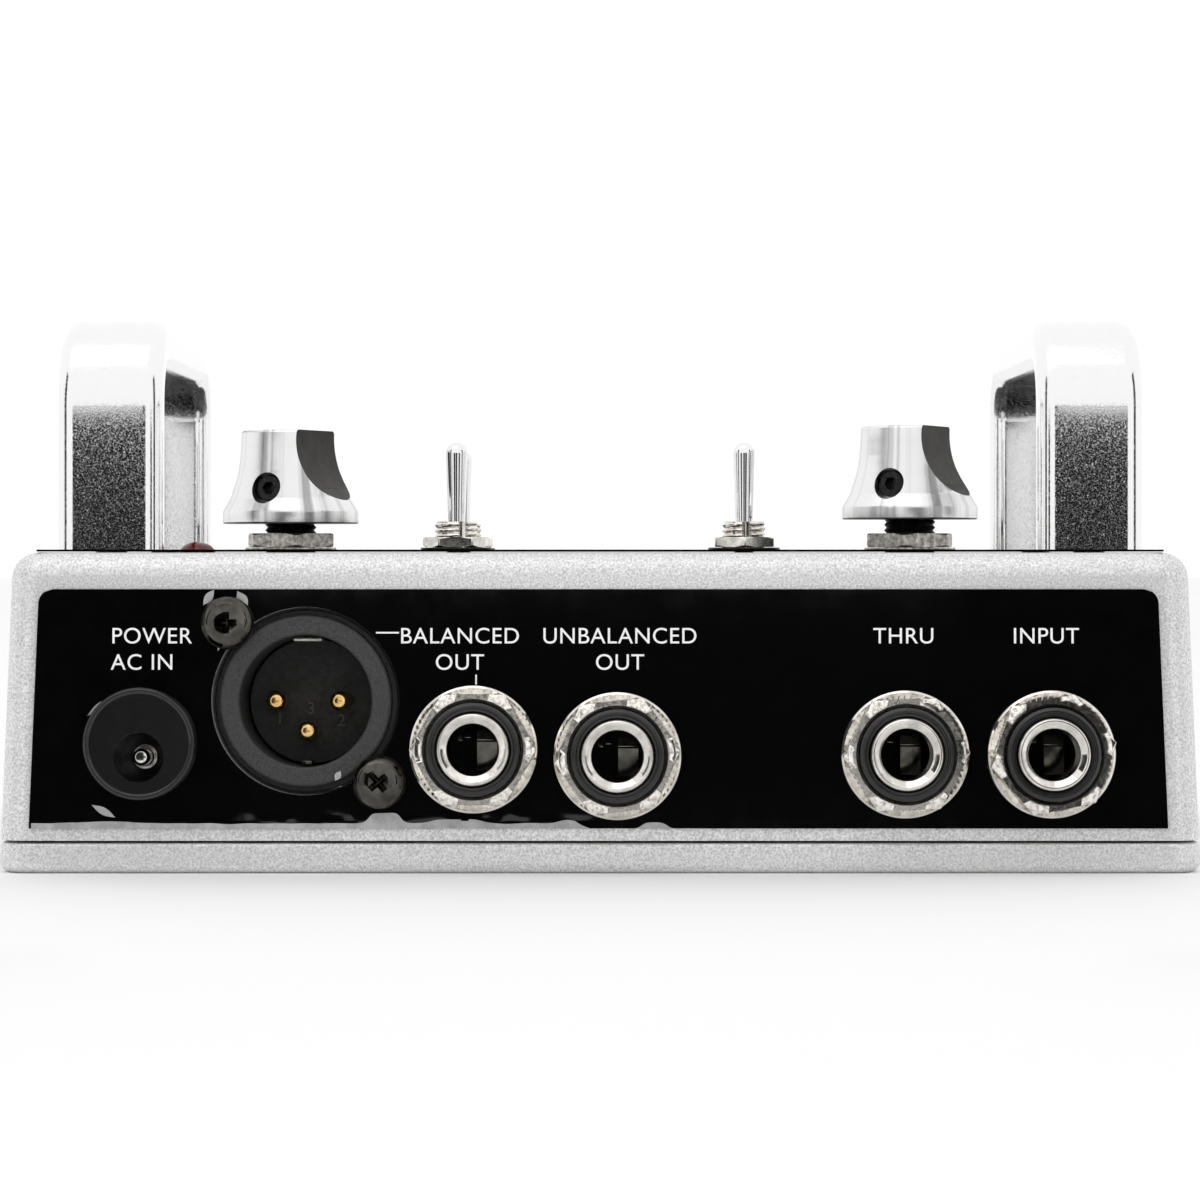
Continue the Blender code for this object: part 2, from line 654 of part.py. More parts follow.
def make_led():
    base = empty("led", at=(*LED_PLACE, TOP))
    rise = LED_DOME + LABEL_FACE
    radius = (rise**2 + LED_RADIUS**2) / (2 * rise)
    spread = math.degrees(math.asin(LED_RADIUS / radius))
    dome = arc((0, rise - radius), radius, 90, 90 - spread, 4)
    dome[0] = (0, rise)
    low = UNDER_TOP - LED_BODY
    profile = dome + [
        (LED_RADIUS, UNDER_TOP),
        (LED_RIM, UNDER_TOP),
        (LED_RIM, UNDER_TOP - LED_RIM_HEIGHT),
        (LED_RADIUS, UNDER_TOP - LED_RIM_HEIGHT),
        (LED_RADIUS, low),
        (0, low),
    ]
    solid("power_led", turned(profile, COARSE), red_lens, parent=base)
    tool("led_hole", rod(LED_RADIUS + GAP, UNDER_TOP, 1 * MM), top_holes, parent=base)


# Jack panel

def fitting(name, x, height):
    """An empty on the panel: X to the right, Y up the panel, Z straight out of it."""
    return empty(name, panel, (x, 0, (height - BODY_LOW) / math.cos(DRAFT)), (90, 0, 0))


def make_xlr():
    base = fitting("xlr", XLR_X, XLR_HEIGHT)
    tool("xlr_hole", rod(XLR_HOLE, -6 * MM, 2 * MM, FINE), rear_holes, parent=base)
    behind = -WALL - GAP
    body = (
        (0, 0),
        (XLR_RIM, 0),
        (XLR_RIM, behind - 1 * MM),
        (XLR_BODY, behind - 1 * MM),
        (XLR_BODY, -XLR_BODY_DEPTH),
        (0, -XLR_BODY_DEPTH),
    )
    shell = solid("xlr_shell", turned(body, FINE), dark_plastic, parent=base)
    low = behind - XLR_FLANGE_THICKNESS
    bm = block((-XLR_FLANGE, -XLR_FLANGE, low), (XLR_FLANGE, XLR_FLANGE, behind))
    upright = [edge for edge in bm.edges if abs(edge.verts[0].co.z - edge.verts[1].co.z) > GAP]
    bmesh.ops.bevel(bm, geom=upright, offset=XLR_FLANGE_CORNER, segments=2, profile=0.5, affect="EDGES")
    boolean(shell, tool("xlr_flange", mesh_from(bm), tools, parent=base), "UNION")
    bore = tool("xlr_bore", rod(XLR_BORE, -XLR_BORE_DEPTH, 1 * MM, FINE), tools, parent=base)
    boolean(shell, bore)

    face = -XLR_BORE_DEPTH + GAP + XLR_INSERT_THICKNESS
    insert = rod(XLR_BORE - GAP, -XLR_BORE_DEPTH + GAP, face, FINE)
    solid("xlr_insert", insert, dark_plastic, parent=base)
    tip = arc((0, XLR_PIN_TIP - XLR_PIN_RADIUS), XLR_PIN_RADIUS, 90, 0, 3)
    tip[0] = (0, XLR_PIN_TIP)
    pin = turned(tip + [(XLR_PIN_RADIUS, face + GAP), (0, face + GAP)], SMALL)
    for number, (x, y) in XLR_PINS.items():
        solid(f"xlr_pin_{number}", pin, gold, parent=base, at=(x, y, 0))

    seat = LABEL_FACE + GAP
    head_top = seat + XLR_SCREW_HEAD_HEIGHT
    rounding = 0.9 * MM
    crown = arc((XLR_SCREW_HEAD - rounding, head_top - rounding), rounding, 90, 0, 3)
    screw = [(0, head_top)] + crown + [
        (XLR_SCREW_HEAD, seat),
        (XLR_SCREW_RADIUS, seat),
        (XLR_SCREW_RADIUS, seat - XLR_SCREW_LENGTH),
        (0, seat - XLR_SCREW_LENGTH),
    ]
    screw_mesh = turned(screw, SMALL)
    screw_hole = rod(XLR_SCREW_RADIUS + GAP, -10 * MM, 2 * MM, SMALL)
    for number, (x, y) in XLR_SCREWS.items():
        solid(f"xlr_screw_{number}", screw_mesh, dark_steel, parent=base, at=(x, y, 0))
        hole = tool(f"xlr_screw_hole_{number}", screw_hole, rear_holes, parent=base, at=(x, y, 0))
        boolean(shell, hole)


def make_power_socket():
    base = fitting("power", POWER_X, POWER_HEIGHT)
    seat = LABEL_FACE + GAP
    bevel = 0.4 * MM
    body = (
        (0, POWER_PROUD),
        (POWER_FACE - bevel, POWER_PROUD),
        (POWER_FACE, POWER_PROUD - bevel),
        (POWER_FACE, seat),
        (POWER_BARREL, seat),
        (POWER_BARREL, -POWER_BARREL_DEPTH),
        (0, -POWER_BARREL_DEPTH),
    )
    socket = solid("power_socket", turned(body, FINE), gloss_plastic, parent=base)
    centre = (0, -POWER_BORE_DROP, 0)
    bore = rod(POWER_BORE, -POWER_BORE_DEPTH, POWER_PROUD + 1 * MM)
    boolean(socket, tool("power_bore", bore, tools, parent=base, at=centre))
    tip = arc((0, POWER_PIN_TOP - POWER_PIN_RADIUS), POWER_PIN_RADIUS, 90, 0, 3)
    tip[0] = (0, POWER_PIN_TOP)
    floor = -POWER_BORE_DEPTH + GAP
    pin = tip + [
        (POWER_PIN_RADIUS, floor + 1 * MM),
        (POWER_PIN_BASE, floor + 1 * MM),
        (POWER_PIN_BASE, floor),
        (0, floor),
    ]
    solid("power_socket_pin", turned(pin, SMALL), nickel, parent=base, at=centre)
    tool("power_hole", rod(POWER_BARREL + GAP, -6 * MM, 2 * MM, FINE), rear_holes, parent=base)


def make_jack(name, x, height, turn):
    base = fitting(f"jack_{name}", x, height)
    behind = -WALL - GAP
    half = JACK_BODY / 2
    mesh = mesh_from(block((-half, -half, -JACK_BODY_DEPTH), (half, half, behind)))
    body = solid(f"jack_body_{name}", mesh, dark_plastic, parent=base)
    bushing = rod(JACK_BUSHING, behind - 1 * MM, JACK_BUSHING_PROUD, FINE)
    boolean(body, tool(f"jack_bushing_{name}", bushing, tools, parent=base), "UNION")
    seat = JACK_SLEEVE + GAP
    bore = (
        (0, JACK_BUSHING_PROUD + 1 * MM),
        (seat, JACK_BUSHING_PROUD + 1 * MM),
        (seat, -JACK_SLEEVE_DEPTH - GAP),
        (JACK_BORE_INNER, -JACK_SLEEVE_DEPTH - GAP),
        (JACK_BORE_INNER, -JACK_BORE_DEPTH),
        (0, -JACK_BORE_DEPTH),
    )
    boolean(body, tool(f"jack_bore_{name}", turned(bore, COARSE), tools, parent=base))
    mouth = 0.4 * MM
    sleeve = (
        (JACK_SLEEVE, JACK_SLEEVE_PROUD),
        (JACK_SLEEVE, -JACK_SLEEVE_DEPTH),
        (JACK_BORE, -JACK_SLEEVE_DEPTH),
        (JACK_BORE, JACK_SLEEVE_PROUD - mouth),
        (JACK_BORE + mouth, JACK_SLEEVE_PROUD),
    )
    solid(f"jack_sleeve_{name}", turned(sleeve, COARSE, closed=True), nickel, parent=base)
    bore_radius = JACK_BUSHING + GAP
    hex_nut(f"jack_nut_{name}", JACK_NUT_FLATS, JACK_NUT_LOW, JACK_NUT_HIGH, bore_radius, nickel, base, turn)
    tool(f"jack_hole_{name}", rod(bore_radius, -6 * MM, 1 * MM, FINE), rear_holes, parent=base)


# Circuit board and transformer

def make_electronics():
    high = BOARD_LOW + BOARD_THICKNESS
    mesh = mesh_from(block((-BOARD_HALF_X, BOARD_FRONT, BOARD_LOW), (BOARD_HALF_X, BOARD_BACK, high)))
    board = solid("main_board", mesh, circuit_board)
    for number, (x, y, wide, deep, tall) in enumerate(BOARD_CHIPS, 1):
        low = ((x - wide / 2) * MM, (y - deep / 2) * MM, high - 0.5 * MM)
        top = ((x + wide / 2) * MM, (y + deep / 2) * MM, high + tall * MM)
        boolean(board, tool(f"chip_{number}", mesh_from(block(low, top)), tools), "UNION")
    for number, (x, y, radius) in enumerate(BOARD_CANS, 1):
        mesh = rod(radius * MM, BOARD_LOW - BOARD_CAN_DROP, BOARD_LOW + 0.5 * MM, SMALL)
        boolean(board, tool(f"capacitor_{number}", mesh, tools, at=(x * MM, y * MM, 0)), "UNION")

    top = BOARD_LOW - GAP
    half_x, half_y = CORE[0] / 2, CORE[1] / 2
    core = mesh_from(block((-half_x, -half_y, top - CORE[2]), (half_x, half_y, top)))
    transformer = solid("output_transformer", core, dark_steel, at=(*CORE_PLACE, 0))
    middle = top - CORE[2] / 2
    low = (-COIL[0] / 2, -COIL[1] / 2, middle - COIL[2] / 2)
    high = (COIL[0] / 2, COIL[1] / 2, middle + COIL[2] / 2)
    coil = tool("transformer_coil", mesh_from(block(low, high)), tools, at=(*CORE_PLACE, 0))
    boolean(transformer, coil, "UNION")


clear_scene()
parts = collection("direct_injection_box")
tools = collection("cutters")
rear_holes = collection("rear_panel_holes")
top_holes = collection("top_holes")
boss_holes = collection("base_screw_holes")

cast = material("cast_aluminium", (0.55, 0.55, 0.54), 0.45, 0.8)
black_film = material("black_film", (0.006, 0.006, 0.007), 0.08)
polished = material("polished_metal", (0.78, 0.78, 0.79), 0.1, 1.0)
turned_aluminium = material("turned_aluminium", (0.74, 0.74, 0.75), 0.22, 1.0)
steel = material("steel", (0.5, 0.5, 0.5), 0.35, 1.0)
dark_steel = material("black_steel", (0.07, 0.068, 0.065), 0.3, 1.0)
nickel = material("nickel_plate", (0.62, 0.6, 0.57), 0.2, 1.0)
dark_plastic = material("matt_black_plastic", (0.02, 0.02, 0.02), 0.55)
gloss_plastic = material("gloss_black_plastic", (0.008, 0.008, 0.009), 0.12)
red_lens = material("red_lens", (0.25, 0.01, 0.015), 0.15)
gold = material("gold_plate", (0.85, 0.62, 0.3), 0.22, 1.0)
circuit_board = material("circuit_board", (0.03, 0.14, 0.06), 0.5)

panel = empty("rear_panel", at=(0, -BODY_HALF_Y, BODY_LOW), turn=(-math.degrees(DRAFT), 0, 0))
make_xlr()
make_power_socket()
for jack_name, (jack_x, jack_height, jack_turn) in JACKS.items():
    make_jack(jack_name, jack_x, jack_height, jack_turn)
make_knob("left", -KNOB_X)
make_knob("right", KNOB_X)
lever = lever_mesh()
for toggle_name, (toggle_x, toggle_y) in TOGGLES.items():
    make_toggle(toggle_name, toggle_x, toggle_y, lever)
make_led()
make_handles()
make_enclosure()
make_labels()
make_electronics()
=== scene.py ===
"""Direct injection box on a pale floor: fine pieces and their finishes, laid over the CAD frame.

The jack panel faces -Y, +X is on its right and +Z is up. Lengths are in metres, and most are written in
millimetres times MM. Pieces of the jack panel are built lying flat with Z pointing out, then put in place
by a matrix, so every mesh holds its own place and every object stays at the origin.
"""

import math

import bmesh
import bpy
from mathutils import Matrix, Vector, noise


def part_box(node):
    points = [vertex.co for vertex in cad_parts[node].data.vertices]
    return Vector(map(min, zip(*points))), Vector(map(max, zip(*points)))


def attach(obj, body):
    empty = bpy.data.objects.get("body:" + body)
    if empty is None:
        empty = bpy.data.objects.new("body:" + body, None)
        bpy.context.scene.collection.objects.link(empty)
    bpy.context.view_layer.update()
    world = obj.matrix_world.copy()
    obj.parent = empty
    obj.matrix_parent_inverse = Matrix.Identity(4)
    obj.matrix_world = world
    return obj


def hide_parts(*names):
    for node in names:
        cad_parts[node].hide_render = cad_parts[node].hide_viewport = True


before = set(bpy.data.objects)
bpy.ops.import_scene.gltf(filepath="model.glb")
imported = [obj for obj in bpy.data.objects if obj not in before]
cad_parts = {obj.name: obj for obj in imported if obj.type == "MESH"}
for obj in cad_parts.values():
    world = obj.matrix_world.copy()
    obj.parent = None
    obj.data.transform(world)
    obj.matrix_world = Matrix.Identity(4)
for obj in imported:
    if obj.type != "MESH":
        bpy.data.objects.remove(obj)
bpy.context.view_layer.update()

MM = 0.001

# Enclosure
LENGTH = 147.0 * MM
DEPTH = 121.2 * MM
TOP = 39.1 * MM
SEAM = 3.7 * MM
GAP = 0.3 * MM
INSET = 0.15 * MM
DRAFT = math.radians(2.1)
WALL = 2.3 * MM
CORNER = 3.5 * MM
EDGE = 3.0 * MM
BASE_EDGE = 1.3 * MM
BODY_LOW = SEAM + GAP
PANEL_Y = -(DEPTH / 2 - INSET)
LABEL_FACE = 0.35 * MM

# Where things sit on the jack panel
XLR_HOLE = 11.45 * MM
POWER_HOLE = 5.9 * MM
JACK_HOLE = 5.95 * MM
POWER_HEIGHT = 15.8 * MM
LABEL_LOW = 5.5 * MM
LABEL_HIGH = 34.6 * MM
LABEL_HALF_LOW = 69.3 * MM
LABEL_HALF_HIGH = 68.2 * MM
LABEL_SHIFT = -0.2 * MM
LABEL_CORNER = 1.7 * MM
# Each screw's place across and up from the connector's middle, and the turn of its recess in degrees
XLR_SCREWS = {"upper": (-9.5 * MM, 9.5 * MM, 0.0), "lower": (9.0 * MM, -9.9 * MM, 40.0)}
SCREW_HEAD = 3.25 * MM
SCREW_DOME = 2.55 * MM
RECESS_DEPTH = 1.5 * MM
RECESS_REACH = 1.35 * MM
RECESS_ARM = 0.4 * MM
JACK_TURN = {"balanced": 0.0, "unbalanced": 6.0, "thru": 2.0, "input": 11.0}

# Handles, knobs and switches
HANDLE_X = 62.8 * MM
HANDLE_WIDTH = 13.4 * MM
HANDLE_THICKNESS = 6.5 * MM
HANDLE_TOP = TOP + 0.64 * MM + 29.5 * MM
HANDLE_PITCH = 65.0 * MM
HANDLE_BEND = 8.2 * MM
HANDLE_EDGE = 2.3 * MM
KNOB_X = 42.2 * MM
KNOB_HEIGHT = 12.7 * MM
KNOB_RADIUS = 9.23 * MM
KNOB_UNDERSIDE = {"left": 3.9 * MM, "right": 4.5 * MM}
SCOOP_RADIUS = 9.7 * MM
SCOOP_START = 3.75 * MM
SCOOP_HEIGHT = 11.45 * MM
SCOOP_TURN = {"left": 66.3, "right": 65.2}
GRUB_TURN = {"left": -22.0, "right": -26.0}
GRUB_HEIGHT = 4.8 * MM
GRUB_HOLE = 2.1 * MM
POT_NUT_TURN = {"left": 41.0, "right": 19.0}
TOGGLES = {"left": (-19.6 * MM, 0.0), "right": (19.6 * MM, 0.0), "far": (-20.4 * MM, 44.0 * MM)}
TOGGLE_NUT_TURN = {"left": 0.0, "right": 30.0, "far": 0.0}
LEVER_LENGTH = 13.5 * MM
LEVER_TIP = 1.5 * MM
LEVER_BALL = 1.95 * MM
TOGGLE_PIVOT = 1.5 * MM
LED_PLACE = (-53.0 * MM, -20.0 * MM)
LED_RADIUS = 2.4 * MM

PANEL = Matrix.Translation((0, PANEL_Y, BODY_LOW)) @ Matrix.Rotation(-DRAFT, 4, "X")
OUTWARD = Matrix.Rotation(math.radians(90), 4, "X")


def up_panel(height):
    """Distance up the leaning jack panel to a height above the floor."""
    return (height - BODY_LOW) / math.cos(DRAFT)


# ---------------------------------------------------------------- finishes


def grey(level, tint=(1.0, 1.0, 1.0)):
    """A linear colour from a display level of 0 to 255, with an optional tint."""
    value = level / 255
    linear = value / 12.92 if value <= 0.04045 else ((value + 0.055) / 1.055) ** 2.4
    return (linear * tint[0], linear * tint[1], linear * tint[2], 1.0)


def finish(
    name, dark, light, metallic, rough, grain, bump=0.0, bump_grain=None, spread=(0.35, 0.65), **sockets
):
    """A mottled finish: two colours and two roughnesses mixed by noise, and a fine bump.

    grain is the size of the mottling in metres, bump is the height of the fine texture, and bump_grain is
    the size of that texture. spread is the part of the noise over which dark turns to light: a high one
    leaves only scattered specks light. A pair for metallic goes from its first value where the finish is
    dark to its second where it is light.
    """
    made = bpy.data.materials.new(name)
    made.use_nodes = True
    tree = made.node_tree
    shader = tree.nodes["Principled BSDF"]
    place = tree.nodes.new("ShaderNodeTexCoord")
    mottle = tree.nodes.new("ShaderNodeTexNoise")
    mottle.inputs["Scale"].default_value = 1 / grain
    mottle.inputs["Detail"].default_value = 5
    mottle.inputs["Roughness"].default_value = 0.6
    tree.links.new(place.outputs["Object"], mottle.inputs["Vector"])
    blend = tree.nodes.new("ShaderNodeMapRange")
    blend.inputs["From Min"].default_value = spread[0]
    blend.inputs["From Max"].default_value = spread[1]
    tree.links.new(mottle.outputs["Fac"], blend.inputs["Value"])
    colour = tree.nodes.new("ShaderNodeMix")
    colour.data_type = "RGBA"
    colour.inputs["A"].default_value = dark
    colour.inputs["B"].default_value = light
    tree.links.new(blend.outputs["Result"], colour.inputs["Factor"])
    tree.links.new(colour.outputs["Result"], shader.inputs["Base Color"])
    gloss = tree.nodes.new("ShaderNodeMapRange")
    gloss.inputs["To Min"].default_value = rough[1]
    gloss.inputs["To Max"].default_value = rough[0]
    tree.links.new(blend.outputs["Result"], gloss.inputs["Value"])
    tree.links.new(gloss.outputs["Result"], shader.inputs["Roughness"])
    if isinstance(metallic, tuple):
        bare = tree.nodes.new("ShaderNodeMapRange")
        bare.inputs["To Min"].default_value = metallic[0]
        bare.inputs["To Max"].default_value = metallic[1]
        tree.links.new(blend.outputs["Result"], bare.inputs["Value"])
        tree.links.new(bare.outputs["Result"], shader.inputs["Metallic"])
    else:
        shader.inputs["Metallic"].default_value = metallic
    if bump:
        fine = tree.nodes.new("ShaderNodeTexNoise")
        fine.inputs["Scale"].default_value = 1 / (bump_grain or grain / 3)
        fine.inputs["Detail"].default_value = 2
        tree.links.new(place.outputs["Object"], fine.inputs["Vector"])
        relief = tree.nodes.new("ShaderNodeBump")
        relief.inputs["Strength"].default_value = 1.0
        relief.inputs["Distance"].default_value = bump
        tree.links.new(fine.outputs["Fac"], relief.inputs["Height"])
        tree.links.new(relief.outputs["Normal"], shader.inputs["Normal"])
    for socket, value in sockets.items():
        shader.inputs[socket.replace("_", " ")].default_value = value
    return made


def turned(made, amount):
    """Gives a finish the stretched highlights of a part turned about the vertical, and paints upright
    highlight streaks into its colour, lighter and darker round the axis.
    """
    tree = made.node_tree
    shader = tree.nodes["Principled BSDF"]
    around = tree.nodes.new("ShaderNodeTangent")
    around.direction_type = "RADIAL"
    around.axis = "Z"
    tree.links.new(around.outputs["Tangent"], shader.inputs["Tangent"])
    shader.inputs["Anisotropic"].default_value = amount
    place = tree.nodes.new("ShaderNodeTexCoord")
    centred = tree.nodes.new("ShaderNodeVectorMath")
    centred.operation = "SUBTRACT"
    centred.inputs[1].default_value = (0.5, 0.5, 0.5)
    tree.links.new(place.outputs["Generated"], centred.inputs[0])
    flat = tree.nodes.new("ShaderNodeVectorMath")
    flat.operation = "MULTIPLY"
    flat.inputs[1].default_value = (1, 1, 0)
    tree.links.new(centred.outputs["Vector"], flat.inputs[0])
    direction = tree.nodes.new("ShaderNodeVectorMath")
    direction.operation = "NORMALIZE"
    tree.links.new(flat.outputs["Vector"], direction.inputs[0])
    # Painted highlight: streaks of lighter and darker colour round the axis stand for the upright
    # reflections on the turned metal.
    painted_streaks = tree.nodes.new("ShaderNodeTexNoise")
    painted_streaks.inputs["Scale"].default_value = 4.0
    painted_streaks.inputs["Detail"].default_value = 4
    tree.links.new(direction.outputs["Vector"], painted_streaks.inputs["Vector"])
    shade = tree.nodes.new("ShaderNodeValToRGB")
    shade.color_ramp.elements[0].position = 0.36
    shade.color_ramp.elements[0].color = grey(168)
    shade.color_ramp.elements[1].position = 0.5
    shade.color_ramp.elements[1].color = grey(236)
    tree.links.new(painted_streaks.outputs["Fac"], shade.inputs["Fac"])
    tree.links.new(shade.outputs["Color"], shader.inputs["Base Color"])
    return made


WARM = (1.0, 0.96, 0.9)
OLIVE = (1.0, 0.95, 0.84)
CAST = finish("cast aluminium", grey(188), grey(244), 0.6, (0.4, 0.56), 0.26 * MM, 0.008 * MM, 0.2 * MM)
FILM = finish("label film", grey(3), grey(6), 0.0, (0.03, 0.06), 4 * MM)
POLISHED = finish(
    "polished handle", grey(240), grey(250), (1.0, 0.8), (0.3, 0.06), 0.2 * MM,
    bump=0.0015 * MM, bump_grain=0.2 * MM, spread=(0.46, 0.72),
)
# Turned aluminium of the knobs, its colour painted with upright highlight streaks.
TURNED_WITH_PAINTED_STREAKS = turned(finish("turned aluminium with painted streaks", grey(240), grey(252), 1.0, (0.2, 0.26), 6 * MM), 0.75)
SATIN = finish(
    "dark scoop", grey(62, WARM), grey(68, WARM), 0.0, (0.4, 0.46), 2 * MM, Specular_IOR_Level=0.05
)
BLACK_STEEL = finish("black steel", grey(16), grey(40, WARM), 0.5, (0.24, 0.36), 0.5 * MM)
SCREW = finish("black nickel", grey(66, OLIVE), grey(98, OLIVE), 1.0, (0.08, 0.14), 2 * MM)
NICKEL = finish(
    "nickel", grey(206, WARM), grey(240, WARM), 1.0, (0.08, 0.16), 1.6 * MM, 0.001 * MM, 0.3 * MM
)
WORN_NICKEL = finish(
    "worn nickel", grey(150, OLIVE), grey(246, WARM), 1.0, (0.12, 0.28), 0.5 * MM,
    bump=0.003 * MM, bump_grain=0.25 * MM, spread=(0.3, 0.55),
)
# Pale grey painted sheen on the label film, for its lifted low edge and its small swellings.
FOLD_PAINTED_SHEEN = finish("label fold with painted sheen", grey(150), grey(178), 0.0, (0.12, 0.2), 1.5 * MM)
STEEL = finish("steel", grey(150, WARM), grey(234, WARM), 1.0, (0.34, 0.5), 0.6 * MM, 0.005 * MM, 0.2 * MM)
CHROME = finish("chrome", grey(232), grey(240), 1.0, (0.03, 0.05), 2 * MM)
RIM_BLACK = finish("matte black", grey(38), grey(60), 0.0, (0.5, 0.7), 0.2 * MM, 0.008 * MM, 0.12 * MM)
INSIDE_BLACK = finish("inner black", grey(14), grey(24), 0.0, (0.45, 0.6), 0.6 * MM)
GLOSS_BLACK = finish("gloss black", grey(18), grey(30), 0.0, (0.14, 0.22), 0.7 * MM)
GOLD = finish("gold", (0.72, 0.45, 0.16, 1), (0.9, 0.62, 0.28, 1), 1.0, (0.14, 0.24), 0.5 * MM)
RED = finish("red lens", (0.08, 0.004, 0.005, 1), (0.13, 0.006, 0.007, 1), 0.0, (0.08, 0.14), 1 * MM)
BOARD = finish("circuit board", (0.01, 0.08, 0.03, 1), (0.02, 0.13, 0.05, 1), 0.0, (0.35, 0.5), 2 * MM)
NUMBERS = finish("raised numbers", grey(58), grey(74), 0.0, (0.4, 0.5), 0.6 * MM)
INK = finish("white ink", grey(232), grey(246), 0.0, (0.5, 0.6), 0.6 * MM)
FLOOR = finish("floor", grey(243), grey(244), 0.0, (0.8, 0.85), 200 * MM)


# ---------------------------------------------------------------- shapes


def rounded(points, size=0.15 * MM, steps=4):
    """Rounds the inner corners of an open profile of (radius, height) points."""
    path = [points[0]]
    for before, corner, after in zip(points, points[1:], points[2:]):
        here = Vector(corner)
        back = Vector(before) - here
        ahead = Vector(after) - here
        reach = min(size, back.length * 0.45, ahead.length * 0.45)
        start = here + back.normalized() * reach
        end = here + ahead.normalized() * reach
        for step in range(steps + 1):
            t = step / steps
            bend = start.lerp(here, t).lerp(here.lerp(end, t), t)
            path.append((bend.x, bend.y))
    path.append(points[-1])
    return path


def finished_mesh(name, bm):
    """Turns a bmesh into a mesh with smooth shading and sharp creases."""
    bmesh.ops.recalc_face_normals(bm, faces=bm.faces)
    mesh = bpy.data.meshes.new(name)
    bm.to_mesh(mesh)
    bm.free()
    mesh.shade_smooth()
    mesh.set_sharp_from_angle(angle=math.radians(38))
    return mesh


def surface(rows, wrap_rows=False):
    """A closed skin over rings of points: a ring of one point makes a pole."""
    bm = bmesh.new()
    rings = [[bm.verts.new(point) for point in row] for row in rows]
    following = rings[1:] + (rings[:1] if wrap_rows else [])
    for low, high in zip(rings, following):
        count = max(len(low), len(high))
        for i in range(count):
            j = (i + 1) % count
            corners = [low[i % len(low)], low[j % len(low)], high[j % len(high)], high[i % len(high)]]
            unique = list(dict.fromkeys(corners))
            if len(unique) > 2:
                bm.faces.new(unique)
    return bm


def ring(radius, height, steps):
    """A ring of points about Z, or the pole where the radius is nothing."""
    if radius < 1e-7:
        return [(0, 0, height)]
    turns = [2 * math.pi * i / steps for i in range(steps)]
    return [(radius * math.cos(turn), radius * math.sin(turn), height) for turn in turns]


def lathe(name, profile, steps=96, hollow=False):
    """Turns a profile of (radius, height) points about Z. A hollow profile is a closed loop."""
    rows = [ring(radius, height, steps) for radius, height in profile]
    return finished_mesh(name, surface(rows, wrap_rows=hollow))


def washer(name, outer, inner, low, high, edge=0.1 * MM):
    """A flat ring with eased edges."""
    middle = (outer + inner) / 2
    half = [(middle, low), (outer, low), (outer, high), (middle, high), (inner, high), (inner, low)]
    loop = rounded(half + [half[0]], edge)[:-1]
    return lathe(name, loop, hollow=True)


def hexagon_reach(flats, turn, soft):
    """Distance from the axis to a hexagon with softened corners, in the direction turn from a corner."""
    apothem = flats / 2
    corner = (apothem - soft) / math.cos(math.radians(30))
    off = abs((turn + 30) % 60 - 30)
    angle = math.radians(off)
    side = corner * math.sin(angle)
    if side < soft:
        along = corner * math.cos(angle) + math.sqrt(soft**2 - side**2)
        heading = math.atan2(along * math.sin(angle), along * math.cos(angle) - corner)
        if abs(heading) < math.radians(30):
            return along
    return apothem / math.cos(math.radians(30) - angle)


def nut(name, flats, low, high, hole, turn=0.0, soft=0.2 * MM):
    """A hexagonal nut with chamfered corners, its first corner turned counterclockwise from +X."""
    offsets = (-26, -20, -14, -9, -5, -2.5, -1.4, -0.9, -0.4, 0, 0.4, 0.9, 1.4, 2.5, 5, 9, 14, 20, 26, 30)
    turns = [sextant * 60 + offset for sextant in range(6) for offset in offsets]
    crown = flats / 2 * 1.05
    drop = (flats / math.sqrt(3) - crown) * math.tan(math.radians(30))
    steps = 7
    heights = [low + drop * i / steps for i in range(steps + 1)]
    heights += [high - drop * (steps - i) / steps for i in range(steps + 1)]

    def row(height):
        from_end = min(height - low, high - height)
        cone = crown + from_end / math.tan(math.radians(30))
        points = []
        for angle in turns:
            reach = min(hexagon_reach(flats, angle, soft), cone)
            at = math.radians(angle + turn)
            points.append((reach * math.cos(at), reach * math.sin(at), height))
        return points

    def round_row(radius, height):
        return [
            (radius * math.cos(math.radians(a + turn)), radius * math.sin(math.radians(a + turn)), height)
            for a in turns
        ]

    lead = 0.35 * MM
    rows = [round_row(hole + lead, low)]
    rows += [row(height) for height in heights]
    rows += [round_row(hole + lead, high), round_row(hole, high - lead), round_row(hole, low + lead)]
    return finished_mesh(name, surface(rows, wrap_rows=True))


def thread(name, radius, bore, low, high, pitch, depth, steps=96, groove=None):
    """A threaded tube. groove is the direction, in degrees, of a keyway cut along it."""
    per_pitch = 8
    count = max(4, int((high - low) / pitch * per_pitch))
    rows = []
    for step in range(count + 1):
        height = low + (high - low) * step / count
        fade = min(1.0, (high - height) / (0.5 * pitch))
        points = []
        for i in range(steps):
            angle = 2 * math.pi * i / steps
            phase = ((height - low) / pitch - i / steps) % 1.0
            valley = 1 - abs(2 * phase - 1)
            reach = radius - depth * valley * fade - 0.25 * MM * (1 - fade)
            if groove is not None:
                off = abs((math.degrees(angle) - groove + 180) % 360 - 180)
                if off < 11:
                    reach = min(reach, radius - 0.5 * MM)
            points.append((reach * math.cos(angle), reach * math.sin(angle), height))
        rows.append(points)
    rows.append(ring(bore + 0.1 * MM, high, steps))
    rows.append(ring(bore, high - 0.15 * MM, steps))
    rows.append(ring(bore, low, steps))
    return finished_mesh(name, surface(rows, wrap_rows=True))


def rounded_outline(half_x, half_y, radius, steps=10):
    """Points round a rectangle with rounded corners, counterclockwise."""
    points = []
    for cx, cy, start in ((1, 1, 0), (-1, 1, 90), (-1, -1, 180), (1, -1, 270)):
        for step in range(steps + 1):
            angle = math.radians(start + 90 * step / steps)
            x = cx * (half_x - radius) + radius * math.cos(angle)
            y = cy * (half_y - radius) + radius * math.sin(angle)
            points.append((x, y))
    return points


